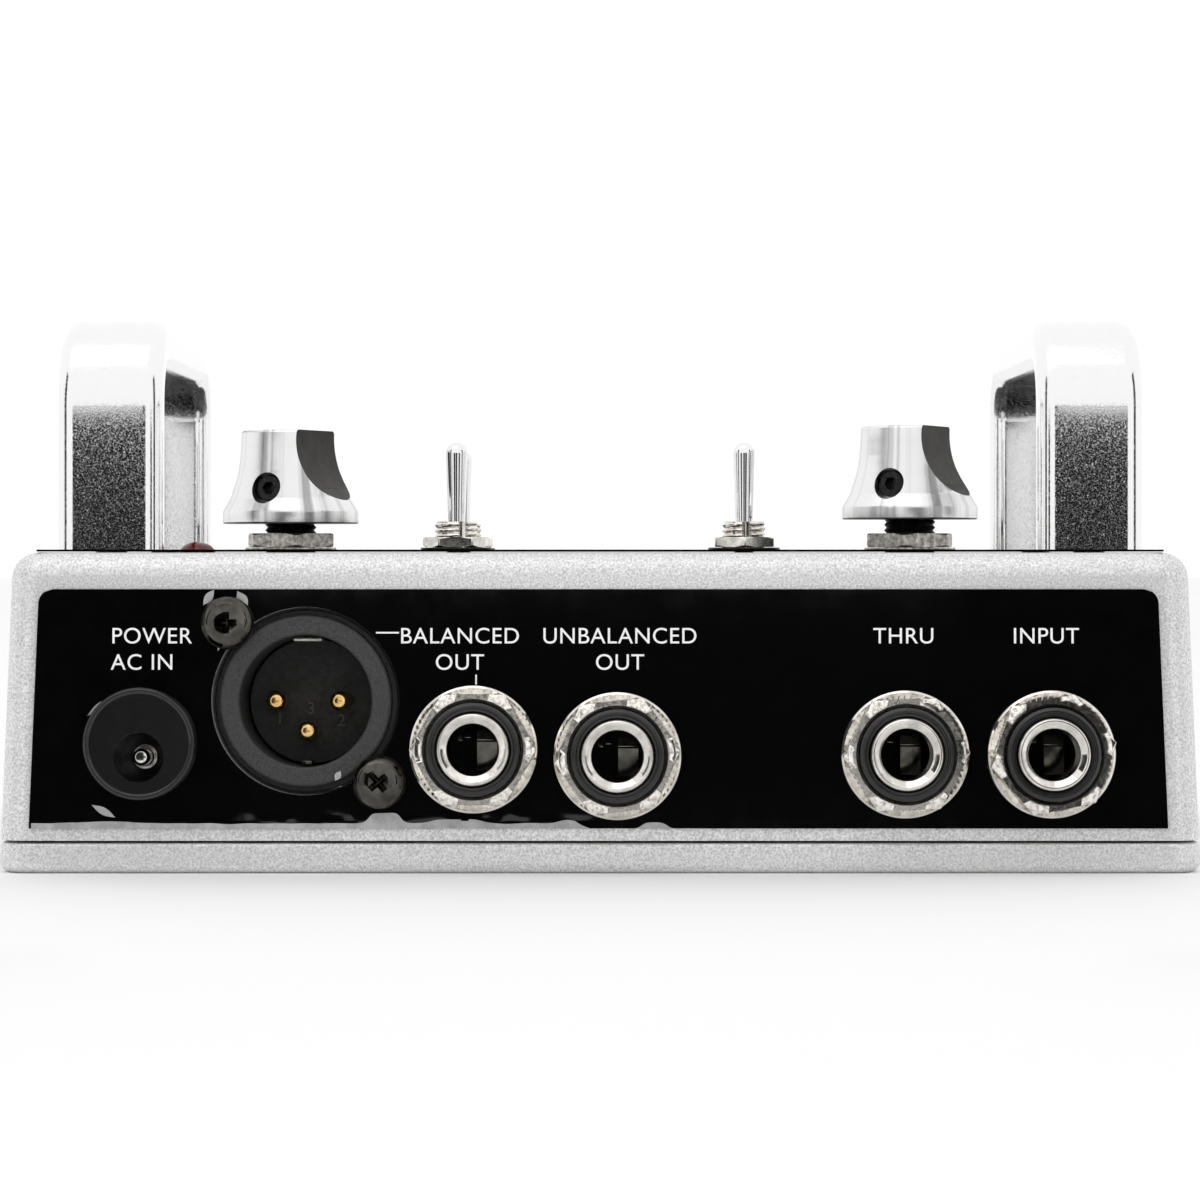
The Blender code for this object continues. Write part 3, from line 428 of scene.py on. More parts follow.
def drafted(name, half_x, half_y, low, high, corner, top_edge, low_edge=0.0):
    """A block that narrows upward by the draft, with rounded corners and rounded top and low edges."""
    steps = 8
    levels = []
    if low_edge:
        for step in range(steps + 1):
            angle = math.radians(90 * step / steps)
            levels.append((low + low_edge * (1 - math.cos(angle)), low_edge * (1 - math.sin(angle))))
    else:
        levels.append((low, 0.0))
    if top_edge:
        for step in range(steps + 1):
            angle = math.radians(90 * step / steps)
            levels.append((high - top_edge * (1 - math.sin(angle)), top_edge * (1 - math.cos(angle))))
    else:
        levels.append((high, 0.0))
    rows = []
    for height, inset in levels:
        shrink = (height - low) * math.tan(DRAFT) + inset
        radius = max(corner - inset * 0.4, 0.4 * MM)
        outline = rounded_outline(half_x - shrink, half_y - shrink, radius)
        rows.append([(x, y, height) for x, y in outline])
    bm = surface(rows)
    bm.verts.ensure_lookup_table()
    count = len(rows[0])
    bm.faces.new(bm.verts[:count])
    bm.faces.new(bm.verts[-count:])
    return finished_mesh(name, bm)


def block(name, low, high, edge=0.0):
    """A box between two corners, with rounded edges."""
    bm = bmesh.new()
    bmesh.ops.create_cube(bm, size=1.0)
    for vert in bm.verts:
        for axis in range(3):
            vert.co[axis] = low[axis] if vert.co[axis] < 0 else high[axis]
    if edge:
        bmesh.ops.bevel(bm, geom=bm.edges[:], offset=edge, segments=3, profile=0.5, affect="EDGES")
    return finished_mesh(name, bm)


def cut(mesh, *cutters):
    """Cuts each mesh out of the first one and clears them away."""
    scene = bpy.context.scene
    target = bpy.data.objects.new("target", mesh)
    scene.collection.objects.link(target)
    made = []
    for cutter in cutters:
        knife = bpy.data.objects.new("knife", cutter)
        scene.collection.objects.link(knife)
        made.append(knife)
        step = target.modifiers.new("cut", "BOOLEAN")
        step.operation = "DIFFERENCE"
        step.solver = "EXACT"
        step.object = knife
    bpy.context.view_layer.update()
    result = bpy.data.meshes.new_from_object(target.evaluated_get(bpy.context.evaluated_depsgraph_get()))
    result.name = mesh.name
    for obj in [target, *made]:
        bpy.data.objects.remove(obj)
    result.set_sharp_from_angle(angle=math.radians(38))
    return result


def at(x, y, z, turn=0.0):
    """A place with a turn about Z, in degrees."""
    return Matrix.Translation((x, y, z)) @ Matrix.Rotation(math.radians(turn), 4, "Z")


def moved(mesh, matrix):
    """The same mesh, carried to a new place."""
    mesh.transform(matrix)
    return mesh


def add(name, mesh, made, matrix=None, body="box", stands_for=()):
    """Puts a piece in the scene: its mesh goes to its place, and it rides on a body of the frame.

    Pieces are named with hyphens, which keeps them apart from the CAD nodes of the same words.
    """
    if matrix is not None:
        mesh.transform(matrix)
    piece = bpy.data.objects.new(name.replace(" ", "-"), mesh)
    bpy.context.scene.collection.objects.link(piece)
    if not mesh.materials:
        mesh.materials.append(made)
    else:
        mesh.materials[0] = made
    even = piece.modifiers.new("even shading", "WEIGHTED_NORMAL")
    even.keep_sharp = True
    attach(piece, body)
    if stands_for:
        nodes = [stands_for] if isinstance(stands_for, str) else list(stands_for)
        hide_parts(*nodes)
    return piece


def fitting(node):
    """The place of a panel fitting, from the middle of its CAD piece: Z points out of the panel."""
    low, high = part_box(node)
    middle = PANEL.inverted() @ ((low + high) / 2)
    return PANEL @ Matrix.Translation((middle.x, 0, middle.z)) @ OUTWARD


# ---------------------------------------------------------------- enclosure


JACKS = {name: fitting(f"jack_nut_{name}") for name in JACK_TURN}
XLR = fitting("xlr_insert")
power_low, power_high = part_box("power_socket")
power_x = (power_low.x + power_high.x) / 2
POWER = PANEL @ Matrix.Translation((power_x, 0, up_panel(POWER_HEIGHT))) @ OUTWARD


def panel_holes(clearance, low, high):
    """Plugs for every hole through the jack panel."""
    plugs = [(XLR, 0, 0, XLR_HOLE), (POWER, 0, 0, POWER_HOLE + clearance)]
    plugs += [(place, 0, 0, JACK_HOLE + clearance) for place in JACKS.values()]
    plugs += [(XLR, x, y, 1.65 * MM) for x, y, _ in XLR_SCREWS.values()]
    made = []
    for place, x, y, radius in plugs:
        plug = lathe("plug", [(0, low), (radius, low), (radius, high), (0, high)], 96)
        made.append(moved(plug, place @ at(x, y, 0)))
    return made


def top_holes():
    """Plugs for every hole through the top."""
    places = [(-KNOB_X, 0, 3.6), (KNOB_X, 0, 3.6), (*LED_PLACE, 2.6)]
    places += [(x, y, 3.1) for x, y in TOGGLES.values()]
    made = []
    for x, y, radius in places:
        profile = [(0, 30 * MM), (radius * MM, 30 * MM), (radius * MM, 45 * MM), (0, 45 * MM)]
        made.append(moved(lathe("plug", profile, 64), at(x, y, 0)))
    return made


half_x = LENGTH / 2 - INSET
half_y = DEPTH / 2 - INSET
shell = drafted("enclosure body", half_x, half_y, BODY_LOW, TOP, CORNER, EDGE)
room = drafted(
    "room", half_x - WALL, half_y - WALL, BODY_LOW - 1 * MM, TOP - WALL, CORNER - 1.5 * MM, 1.5 * MM
)
shell = cut(shell, room, *panel_holes(0, -6 * MM, 6 * MM), *top_holes())
add("enclosure body", shell, CAST, stands_for="enclosure_body")

plate = drafted("base plate", LENGTH / 2, DEPTH / 2, 0, SEAM, CORNER, 0.45 * MM, BASE_EDGE)
corner_x = LENGTH / 2 - 5.35 * MM
corner_y = DEPTH / 2 - 5.35 * MM
countersink = [(0, -1 * MM), (4.2 * MM, -1 * MM), (1.7 * MM, 1.9 * MM), (1.7 * MM, 5 * MM), (0, 5 * MM)]
sinks = []
for x in (-corner_x, corner_x):
    for y in (-corner_y, corner_y):
        sinks.append(moved(lathe("sink", countersink, 48), at(x, y, 0)))
add("base plate", cut(plate, *sinks), CAST, stands_for="base_plate")


# ---------------------------------------------------------------- labels


def wrinkle(x, y):
    """How far the film stands off the panel, for a place in millimetres along and up the panel."""
    lift = 0.0
    edge = math.exp(-(((y - 2.4) / 0.7) ** 2))
    ripple = noise.noise(Vector((x * 0.22, y * 0.5, 3.0))) + 0.5 * noise.noise(Vector((x * 0.6, y, 8.0)))
    fade = 1 / (1 + math.exp((x + 2) / 3))
    lift += 0.03 * edge * ripple * fade
    return max(lift, -0.02) * MM


def label_sheet():
    """The film on the jack panel: a fine sheet that narrows upward, lifted along its low edge."""
    low = up_panel(LABEL_LOW)
    high = up_panel(LABEL_HIGH)
    columns = 400
    lines = 84
    fronts = []
    backs = []
    for line in range(lines + 1):
        up = line / lines
        y = low + (high - low) * up
        half = LABEL_HALF_LOW + (LABEL_HALF_HIGH - LABEL_HALF_LOW) * up
        over = y - (high - LABEL_CORNER)
        if over > 0:
            half -= LABEL_CORNER - math.sqrt(max(LABEL_CORNER**2 - over**2, 0))
        front = []
        back = []
        for column in range(columns + 1):
            x = LABEL_SHIFT + half * (2 * column / columns - 1)
            front.append((x, y, LABEL_FACE + wrinkle(x / MM, y / MM)))
            back.append((x, y, 0.1 * MM))
        fronts.append(front)
        backs.append(back)
    rows = [front + back[::-1] for front, back in zip(fronts, backs)]
    bm = surface(rows)
    bm.verts.ensure_lookup_table()
    width = 2 * (columns + 1)
    for start in (0, lines * width):
        for column in range(columns):
            a = bm.verts[start + column]
            b = bm.verts[start + column + 1]
            c = bm.verts[start + width - 2 - column]
            d = bm.verts[start + width - 1 - column]
            bm.faces.new((a, b, c, d))
    return finished_mesh("rear label", bm)


sheet = moved(label_sheet(), PANEL @ OUTWARD)
sheet = cut(sheet, *panel_holes(0.1 * MM, -1 * MM, 6 * MM))
add("rear label", sheet, FILM, stands_for="rear_label")

top_low, top_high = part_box("top_label")
top_sheet = block("top label", top_low, top_high)
add("top label", cut(top_sheet, *top_holes()), FILM, stands_for="top_label")


def fold_height(x):
    """Height of the pale band of painted sheen along the film's low edge, in millimetres, at a place along
    the panel.
    """
    height = 0.62 + 0.16 * noise.noise(Vector((x * 0.3, 2.0, 5.0)))
    height += 0.25 * math.exp(-(((x + 60) / 4) ** 2))
    height += 1.25 / (1 + ((x + 26.2) / 2.0) ** 8)
    height += 0.5 / (1 + ((x + 17.5) / 3.2) ** 6)
    height += 0.45 * math.exp(-(((x + 4) / 1.4) ** 2))
    if x > -3:
        height *= max(0.0, 1 - (x + 3) / 1.8)
    height += 0.75 * math.exp(-(((x - 6.6) / 1.7) ** 4))
    return height


def fold_strip():
    """A flat pale strip along the film's low edge: painted sheen where the film lifts off the panel."""
    low = up_panel(LABEL_LOW)
    rows = []
    for step in range(330):
        x = -69.2 + step * 0.25
        height = max(fold_height(x), 0.02) * MM
        face = LABEL_FACE + 0.03 * MM
        inner = (x * MM, low, LABEL_FACE - 0.1 * MM)
        outer = (x * MM, low, face)
        upper = (x * MM, low + height, face - 0.01 * MM)
        rows.append([inner, outer, upper])
    bm = surface(rows)
    bm.verts.ensure_lookup_table()
    bm.faces.new(bm.verts[:3])
    bm.faces.new(bm.verts[-3:])
    return finished_mesh("label fold with painted sheen", bm)


def gleam(name, x, height, length, width, turn):
    """A small lens-shaped swelling of the film, in millimetres, coloured pale grey as a painted highlight.
    """
    points = []
    for step in range(40):
        angle = 2 * math.pi * step / 40
        points.append((length / 2 * math.cos(angle) * MM, width / 2 * math.sin(angle) ** 3 * MM))
    rows = [[(px, py, -0.05 * MM) for px, py in points], [(px, py, 0.03 * MM) for px, py in points]]
    rows.append([(0, 0, 0.05 * MM)])
    bm = surface(rows)
    bm.verts.ensure_lookup_table()
    bm.faces.new(bm.verts[:40])
    up = up_panel(height * MM)
    place = PANEL @ OUTWARD @ at(x * MM, up, LABEL_FACE, turn)
    add(name, finished_mesh(name, bm), FOLD_PAINTED_SHEEN, place)


add("label fold with painted sheen", fold_strip(), FOLD_PAINTED_SHEEN, PANEL @ OUTWARD)
for number, spot in enumerate(
    (
        (-47.7, 33.6, 2.4, 1.0, 55),
        (-43.6, 33.3, 2.6, 1.3, -60),
        (-60.4, 7.6, 3.4, 0.9, -28),
        (-31.9, 11.9, 1.4, 0.8, 60),
        (-46.3, 28.0, 2.0, 0.6, 75),
        (-61.0, 20.3, 3.8, 0.8, 38),
    ),
    1,
):
    gleam(f"label gleam {number}", *spot)


def letter_mesh(name, words, size, align):
    """Flat lettering in the plain built-in typeface."""
    data = bpy.data.curves.new(name, "FONT")
    data.body = words
    data.size = size
    data.align_x = align
    data.extrude = 0.012 * MM
    data.space_character = 1.06
    source = bpy.data.objects.new(name, data)
    bpy.context.scene.collection.objects.link(source)
    bpy.context.view_layer.update()
    evaluated = source.evaluated_get(bpy.context.evaluated_depsgraph_get())
    mesh = bpy.data.meshes.new_from_object(evaluated)
    bpy.data.objects.remove(source)
    return mesh


def letters(name, words, x, height, size, align="CENTER"):
    """Plain white lettering on the jack panel."""
    mesh = letter_mesh(name, words, size, align)
    add(name, mesh, INK, PANEL @ OUTWARD @ at(x, up_panel(height), LABEL_FACE + 0.02 * MM))


CAP = 2.75 * MM
letters("power words", "POWER", -59.6 * MM, 28.0 * MM, CAP, "LEFT")
letters("power kind", "AC IN", -59.6 * MM, 24.8 * MM, CAP, "LEFT")
for name, x, words in (
    ("balanced", -17.1, ("BALANCED", "OUT")),
    ("unbalanced", 2.4, ("UNBALANCED", "OUT")),
    ("thru", 37.0, ("THRU",)),
    ("input", 54.3, ("INPUT",)),
):
    for line, word in enumerate(words):
        letters(f"{name} words {line + 1}", word, x * MM, (28.0 - 3.2 * line) * MM, CAP)


def stroke(name, x0, z0, x1, z1):
    """A thin white line on the jack panel, between two places in millimetres."""
    low = (x0 * MM, up_panel(z0 * MM), LABEL_FACE + 0.005 * MM)
    high = (x1 * MM, up_panel(z1 * MM), LABEL_FACE + 0.03 * MM)
    add(name, block(name, low, high), INK, PANEL @ OUTWARD)


stroke("line from the connector", -27.3, 29.2, -24.5, 29.4)
stroke("line to the jack", -15.2, 23.0, -15.0, 24.2)


# ---------------------------------------------------------------- jacks


def knurled_washer(name):
    """The toothed washer under a jack's nut: slanted ridges on its face."""
    outer = 7.75 * MM
    inner = 6.0 * MM
    steps = 240
    rows = []
    for radius, height, depth in (
        (inner, 0.42, 0.0),
        (outer, 0.42, 0.0),
        (outer, 1.2, 0.0),
        (outer - 0.25 * MM, 1.4, 0.0),
        (outer - 0.5 * MM, 1.34, 0.1),
        (outer - 1.2 * MM, 1.34, 0.1),
        (inner, 1.34, 0.0),
    ):
        points = []
        for i in range(steps):
            angle = 2 * math.pi * i / steps
            ridge = 0.5 + 0.5 * math.sin(60 * angle + radius / MM * 4)
            z = (height - depth * ridge) * MM
            points.append((radius * math.cos(angle), radius * math.sin(angle), z))
        rows.append(points)
    return finished_mesh(name, surface(rows, wrap_rows=True))


def make_jack(name, place):
    """A quarter-inch jack: body, washer, nut, threaded bushing, sleeve and contact springs."""
    turn = JACK_TURN[name]
    low = -27.0 * MM
    housing = block("body", (-7 * MM, -7 * MM, low), (7 * MM, 7 * MM, -WALL - 0.4 * MM), 0.4 * MM)
    bore = lathe(
        "bore", [(0, -23 * MM), (3.6 * MM, -23 * MM), (3.6 * MM, 1 * MM), (0, 1 * MM)], 64
    )
    add(f"jack body {name}", cut(housing, bore), INSIDE_BLACK, place, stands_for=f"jack_body_{name}")
    bushing = [
        (3.7 * MM, -4.9 * MM),
        (5.7 * MM, -4.9 * MM),
        (5.7 * MM, 3.95 * MM),
        (5.35 * MM, 4.3 * MM),
        (5.05 * MM, 4.3 * MM),
        (4.95 * MM, 4.1 * MM),
        (4.6 * MM, 4.1 * MM),
        (4.6 * MM, -1.0 * MM),
        (3.7 * MM, -1.0 * MM),
    ]
    mesh = lathe(f"jack bushing {name}", rounded(bushing + [bushing[0]], 0.12 * MM)[:-1], hollow=True)
    add(f"jack bushing {name}", mesh, GLOSS_BLACK, place)
    add(f"jack washer {name}", knurled_washer(f"jack washer {name}"), NICKEL, place)
    mesh = nut(f"jack nut {name}", 13.4 * MM, 1.5 * MM, 3.7 * MM, 5.8 * MM, turn)
    add(f"jack nut {name}", mesh, WORN_NICKEL, place, stands_for=f"jack_nut_{name}")
    sleeve = [
        (3.12 * MM, -0.9 * MM),
        (4.45 * MM, -0.9 * MM),
        (4.45 * MM, 4.45 * MM),
        (4.2 * MM, 4.8 * MM),
        (3.95 * MM, 4.8 * MM),
        (3.12 * MM, 4.1 * MM),
    ]
    mesh = lathe(f"jack sleeve {name}", rounded(sleeve + [sleeve[0]], 0.12 * MM)[:-1], hollow=True)
    add(f"jack sleeve {name}", mesh, NICKEL, place, stands_for=f"jack_sleeve_{name}")
    springs = (
        ((0.1, -2.7, -9.6), (2.7, 0.9, -9.3), 4),
        ((0.1, 0.95, -9.6), (2.6, 2.3, -9.35), -24),
        ((-1.5, 1.2, -10.5), (-0.7, 2.5, -10.2), -30),
        ((-2.4, 0.9, -12.5), (-1.7, 1.9, -12.2), -18),
    )
    for number, (start, end, lean) in enumerate(springs, 1):
        low = [(a - (a + b) / 2) * MM for a, b in zip(start, end)]
        high = [(b - (a + b) / 2) * MM for a, b in zip(start, end)]
        middle = [(a + b) / 2 * MM for a, b in zip(start, end)]
        spring = block("spring", low, high, 0.06 * MM)
        tilt = Matrix.Rotation(math.radians(lean), 4, "X")
        # The first spring, the big leaf, is dark black nickel as painted shade deep inside the jack; the
        # others are bright nickel.
        made = SCREW if number == 1 else NICKEL
        add(f"jack contact {name} {number}", spring, made, place @ at(*middle) @ tilt)


for jack, place in JACKS.items():
    make_jack(jack, place)


# ---------------------------------------------------------------- XLR connector


def cross_recess():
    """The shape of a cross recess: a cross-shaped plug that tapers to its tip."""
    quarter = [(RECESS_REACH, -RECESS_ARM), (RECESS_REACH, RECESS_ARM), (RECESS_ARM, RECESS_ARM)]
    outline = []
    for turn in range(4):
        heading = Matrix.Rotation(math.radians(90 * turn), 2)
        outline += [heading @ Vector(point) for point in quarter]
    rows = [[(0, 0, -RECESS_DEPTH)]]
    for height, scale in ((-RECESS_DEPTH * 0.9, 0.3), (0.0, 1.0), (1 * MM, 1.0)):
        rows.append([(x * scale, y * scale, height) for x, y in outline])
    rows.append([(0, 0, 1 * MM)])
    return finished_mesh("cross recess", surface(rows))


def make_screw(side):
    """A pan-head screw of the connector's flange, with a cross recess."""
    x, y, turn = XLR_SCREWS[side]
    head = [
        (0, SCREW_DOME),
        (1.4 * MM, 2.5 * MM),
        (2.45 * MM, 2.15 * MM),
        (3.12 * MM, 1.4 * MM),
        (SCREW_HEAD, 0.95 * MM),
        (SCREW_HEAD, 0.65 * MM),
        (1.45 * MM, 0.65 * MM),
        (1.45 * MM, -6.0 * MM),
        (0, -6.4 * MM),
    ]
    mesh = lathe(f"xlr screw {side}", rounded(head, 0.3 * MM), 72)
    mesh = cut(mesh, moved(cross_recess(), at(0, 0, SCREW_DOME, turn)))
    add(f"xlr screw {side}", mesh, SCREW, XLR @ at(x, y, 0), stands_for=f"xlr_screw_{side}")


def make_xlr():
    """The connector: flange and cup with a key slot, insert, three pins, a latch and a key plate; the pin
    numbers are added after it.
    """
    cup = [
        (0, -20.5 * MM),
        (11.2 * MM, -20.5 * MM),
        (11.2 * MM, -WALL - 0.3 * MM),
        (10.45 * MM, -WALL - 0.3 * MM),
        (10.45 * MM, -0.25 * MM),
        (10.2 * MM, 0.0),
        (8.3 * MM, 0.0),
        (8.05 * MM, -0.25 * MM),
        (8.05 * MM, -15.9 * MM),
        (0, -15.9 * MM),
    ]
    mesh = lathe("xlr shell", rounded(cup, 0.2 * MM), 128)
    key = block("key", (-0.6 * MM, -8.6 * MM, -14 * MM), (0.6 * MM, -7.8 * MM, -0.8 * MM))
    mesh = cut(mesh, key)
    add("xlr shell", mesh, RIM_BLACK, XLR, stands_for="xlr_shell")
    frame_low = (-13 * MM, -13 * MM, -WALL - 2.3 * MM)
    frame_high = (13 * MM, 13 * MM, -WALL - 0.32 * MM)
    flange = block("xlr flange", frame_low, frame_high, 0.4 * MM)
    hole = lathe("hole", [(0, -9 * MM), (11.25 * MM, -9 * MM), (11.25 * MM, 1 * MM), (0, 1 * MM)], 96)
    add("xlr flange", cut(flange, hole), RIM_BLACK, XLR)
    latch = block("xlr latch", (-1.7 * MM, 7.3 * MM, -6 * MM), (1.9 * MM, 7.8 * MM, -2.2 * MM), 0.2 * MM)
    add("xlr latch", latch, STEEL, XLR)
    key_low = (-0.6 * MM, -7.9 * MM, -9 * MM)
    key_high = (0.6 * MM, -7.3 * MM, -3 * MM)
    add("xlr key plate", block("xlr key plate", key_low, key_high, 0.1 * MM), SCREW, XLR)
    face = [(0, -12.7 * MM), (7.9 * MM, -12.7 * MM), (7.9 * MM, -15.6 * MM), (0, -15.6 * MM)]
    mesh = lathe("xlr insert", rounded(face, 0.25 * MM), 96)
    add("xlr insert", mesh, INSIDE_BLACK, XLR, stands_for="xlr_insert")
    pins = {"1": (-3.9 * MM, 0.0), "2": (3.9 * MM, 0.0), "3": (0.0, -3.7 * MM)}
    for number, (x, y) in pins.items():
        pin = [(0, -3.5 * MM), (0.8 * MM, -3.6 * MM), (1.2 * MM, -4.3 * MM)]
        pin += [(1.2 * MM, -14 * MM), (0, -14 * MM)]
        mesh = lathe(f"xlr pin {number}", rounded(pin, 0.3 * MM), 48)
        add(f"xlr pin {number}", mesh, GOLD, XLR @ at(x, y, 0), stands_for=f"xlr_pin_{number}")


make_xlr()
for number, x, y in (("1", -4.1, -2.8), ("2", 3.6, -3.1), ("3", -0.2, -1.6)):
    digit = letter_mesh(f"pin number {number}", number, 2.1 * MM, "CENTER")
    add(f"pin number {number}", digit, NUMBERS, XLR @ at(x * MM, y * MM, -12.68 * MM))
for side in XLR_SCREWS:
    make_screw(side)


# ---------------------------------------------------------------- power socket


def make_power():
    """The round power socket: face, barrel and centre pin."""
    drop = -1.65 * MM
    body = [
        (0, -14 * MM),
        (5.7 * MM, -14 * MM),
        (5.7 * MM, 0.65 * MM),
        (6.85 * MM, 0.65 * MM),
        (6.85 * MM, 1.8 * MM),
        (6.55 * MM, 2.1 * MM),
        (6.35 * MM, 2.1 * MM),
        (6.15 * MM, 1.95 * MM),
        (0, 1.95 * MM),
    ]
    mesh = lathe("power socket", rounded(body, 0.2 * MM), 128)
    bore = lathe(
        "bore", [(0, -8 * MM), (3 * MM, -8 * MM), (3 * MM, 1.8 * MM), (3.3 * MM, 3 * MM), (0, 3 * MM)], 64
    )
    mesh = cut(mesh, moved(bore, at(0, drop, 0)))
    add("power socket", mesh, GLOSS_BLACK, POWER, stands_for="power_socket")
    pin = [
        (0, -0.6 * MM),
        (0.75 * MM, -0.65 * MM),
        (1.05 * MM, -1.1 * MM),
        (1.05 * MM, -5.5 * MM),
        (1.6 * MM, -5.5 * MM),
        (1.6 * MM, -8 * MM),
        (0, -8 * MM),
    ]
    mesh = lathe("power socket pin", rounded(pin, 0.15 * MM), 48)
    add("power socket pin", mesh, NICKEL, POWER @ at(0, drop, 0), stands_for="power_socket_pin")


make_power()


# ---------------------------------------------------------------- handles


def handle_mesh(side, x):
    """A flat bar bent to a U, from foot to foot, with rounded edges."""
    half = HANDLE_PITCH / 2
    line = HANDLE_TOP - HANDLE_THICKNESS / 2
    foot = TOP + LABEL_FACE + 0.02 * MM
    stations = [((-half, foot), (-1, 0)), ((-half, line - HANDLE_BEND), (-1, 0))]
    for step in range(1, 25):
        angle = math.radians(90 * step / 24)
        centre = (-half + HANDLE_BEND, line - HANDLE_BEND)
        out = (-math.cos(angle), math.sin(angle))
        stations.append(((centre[0] + HANDLE_BEND * out[0], centre[1] + HANDLE_BEND * out[1]), out))
    stations += [((-y, z), (-oy, oz)) for (y, z), (oy, oz) in reversed(stations)]
    outline = rounded_outline(HANDLE_WIDTH / 2, HANDLE_THICKNESS / 2, HANDLE_EDGE, 8)
    rows = []
    for (y, z), (out_y, out_z) in stations:
        rows.append([(x + across, y + out * out_y, z + out * out_z) for across, out in outline])
    bm = surface(rows)
    bm.verts.ensure_lookup_table()
    count = len(outline)
    bm.faces.new(bm.verts[:count])
    bm.faces.new(bm.verts[-count:])
    return finished_mesh(f"handle {side}", bm)


for side, x in (("left", -HANDLE_X), ("right", HANDLE_X)):
    add(f"handle {side}", handle_mesh(side, x), POLISHED, stands_for=f"handle_{side}")


# ---------------------------------------------------------------- knobs


# The knob's side, from its top down: (radius, height) in millimetres
KNOB_OUTLINE = (
    (6.37, 12.7),
    (6.67, 12.4),
    (6.77, 10.3),
    (6.9, 8.7),
    (7.1, 7.2),
    (7.45, 5.8),
    (8.2, 3.45),
    (9.2, 1.75),
    (9.23, 1.6),
)


def make_knob(side, x):
    """A turned knob with a dark finger scoop and a socket grub screw, on a nut and a threaded bushing."""
    body = f"knob_{side}"
    height = TOP + KNOB_UNDERSIDE[side]
    profile = [(0, KNOB_HEIGHT)] + [(r * MM, z * MM) for r, z in KNOB_OUTLINE]
    profile += [(KNOB_RADIUS, 0.15 * MM), (9.1 * MM, 0.0), (4.2 * MM, 0.0), (4.2 * MM, 1.5 * MM)]
    profile += [(3.05 * MM, 1.5 * MM), (3.05 * MM, 10.6 * MM), (0, 10.6 * MM)]
    mesh = lathe(f"knob {side}", rounded(profile, 0.1 * MM, 3), 192)
    turn = math.radians(SCOOP_TURN[side])
    reach = SCOOP_START + SCOOP_RADIUS
    axis = Vector((math.cos(turn), math.sin(turn), 0))
    centre = Vector((reach * math.sin(turn), -reach * math.cos(turn), SCOOP_HEIGHT))
    lying = Matrix.Rotation(turn, 4, "Z") @ Matrix.Rotation(math.radians(90), 4, "Y")
    scoop = lathe(
        "scoop", [(0, -0.02), (SCOOP_RADIUS, -0.02), (SCOOP_RADIUS, 0.02), (0, 0.02)], 256
    )
    mesh = cut(mesh, moved(scoop, Matrix.Translation(centre) @ lying))
    grub = math.radians(GRUB_TURN[side])
    outward = Vector((math.sin(grub), -math.cos(grub), 0))
    tilt = outward.to_track_quat("Z", "Y").to_matrix().to_4x4()
    hole = lathe("hole", [(0, 3 * MM), (GRUB_HOLE, 3 * MM), (GRUB_HOLE, 12 * MM), (0, 12 * MM)], 64)
    mesh = cut(mesh, moved(hole, Matrix.Translation((0, 0, GRUB_HEIGHT)) @ tilt))
    mesh.materials.clear()
    mesh.materials.append(TURNED_WITH_PAINTED_STREAKS)
    mesh.materials.append(SATIN)
    for face in mesh.polygons:
        away = face.center - centre
        away -= axis * away.dot(axis)
        facing = abs(face.normal.dot(away.normalized()))
        if abs(away.length - SCOOP_RADIUS) < 0.05 * MM and facing > 0.97:
            face.material_index = 1
    add(f"knob {side}", mesh, TURNED_WITH_PAINTED_STREAKS, at(x, 0, height), body, stands_for=f"knob_{side}")
    screw = [(0, 3.2 * MM), (1.8 * MM, 3.2 * MM), (1.8 * MM, 6.6 * MM), (1.6 * MM, 6.8 * MM), (0, 6.8 * MM)]
    screw_mesh = lathe(f"knob grub screw {side}", rounded(screw, 0.1 * MM), 48)
    socket_points = [(0, 5.4 * MM), (0.95 * MM, 5.4 * MM), (0.95 * MM, 8 * MM), (0, 8 * MM)]
    screw_mesh = cut(screw_mesh, lathe("socket", socket_points, 6))
    place = at(x, 0, height) @ Matrix.Translation((0, 0, GRUB_HEIGHT)) @ tilt
    add(f"knob grub screw {side}", screw_mesh, BLACK_STEEL, place, body, f"knob_grub_screw_{side}")
    low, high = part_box(f"pot_body_{side}")
    can = [(0, low.z), (8.2 * MM, low.z), (8.2 * MM, low.z + 8 * MM), (3.4 * MM, low.z + 8 * MM)]
    can += [(3.4 * MM, TOP + 0.2 * MM), (2.3 * MM, TOP + 0.2 * MM)]
    can += [(2.3 * MM, low.z + 4 * MM), (0, low.z + 4 * MM)]
    can_mesh = lathe(f"pot can {side}", rounded(can, 0.3 * MM), 72)
    add(f"pot can {side}", can_mesh, STEEL, at(x, 0, 0), stands_for=f"pot_body_{side}")
    bushing = thread(f"pot bushing {side}", 3.5 * MM, 3.05 * MM, 0.4 * MM, 5 * MM, 0.75 * MM, 0.35 * MM)
    add(f"pot bushing {side}", bushing, BLACK_STEEL, at(x, 0, TOP))
    ring_mesh = washer(f"pot washer {side}", 6.2 * MM, 3.7 * MM, 0.38 * MM, 0.68 * MM)
    add(f"pot washer {side}", ring_mesh, STEEL, at(x, 0, TOP))
    mesh = nut(
        f"pot nut {side}", 11 * MM, 0.72 * MM, 2.6 * MM, 3.6 * MM, POT_NUT_TURN[side], soft=0.5 * MM
    )
    add(f"pot nut {side}", mesh, STEEL, at(x, 0, TOP), stands_for=f"pot_nut_{side}")


for side, x in (("left", -KNOB_X), ("right", KNOB_X)):
    make_knob(side, x)


# ---------------------------------------------------------------- switches and lamp


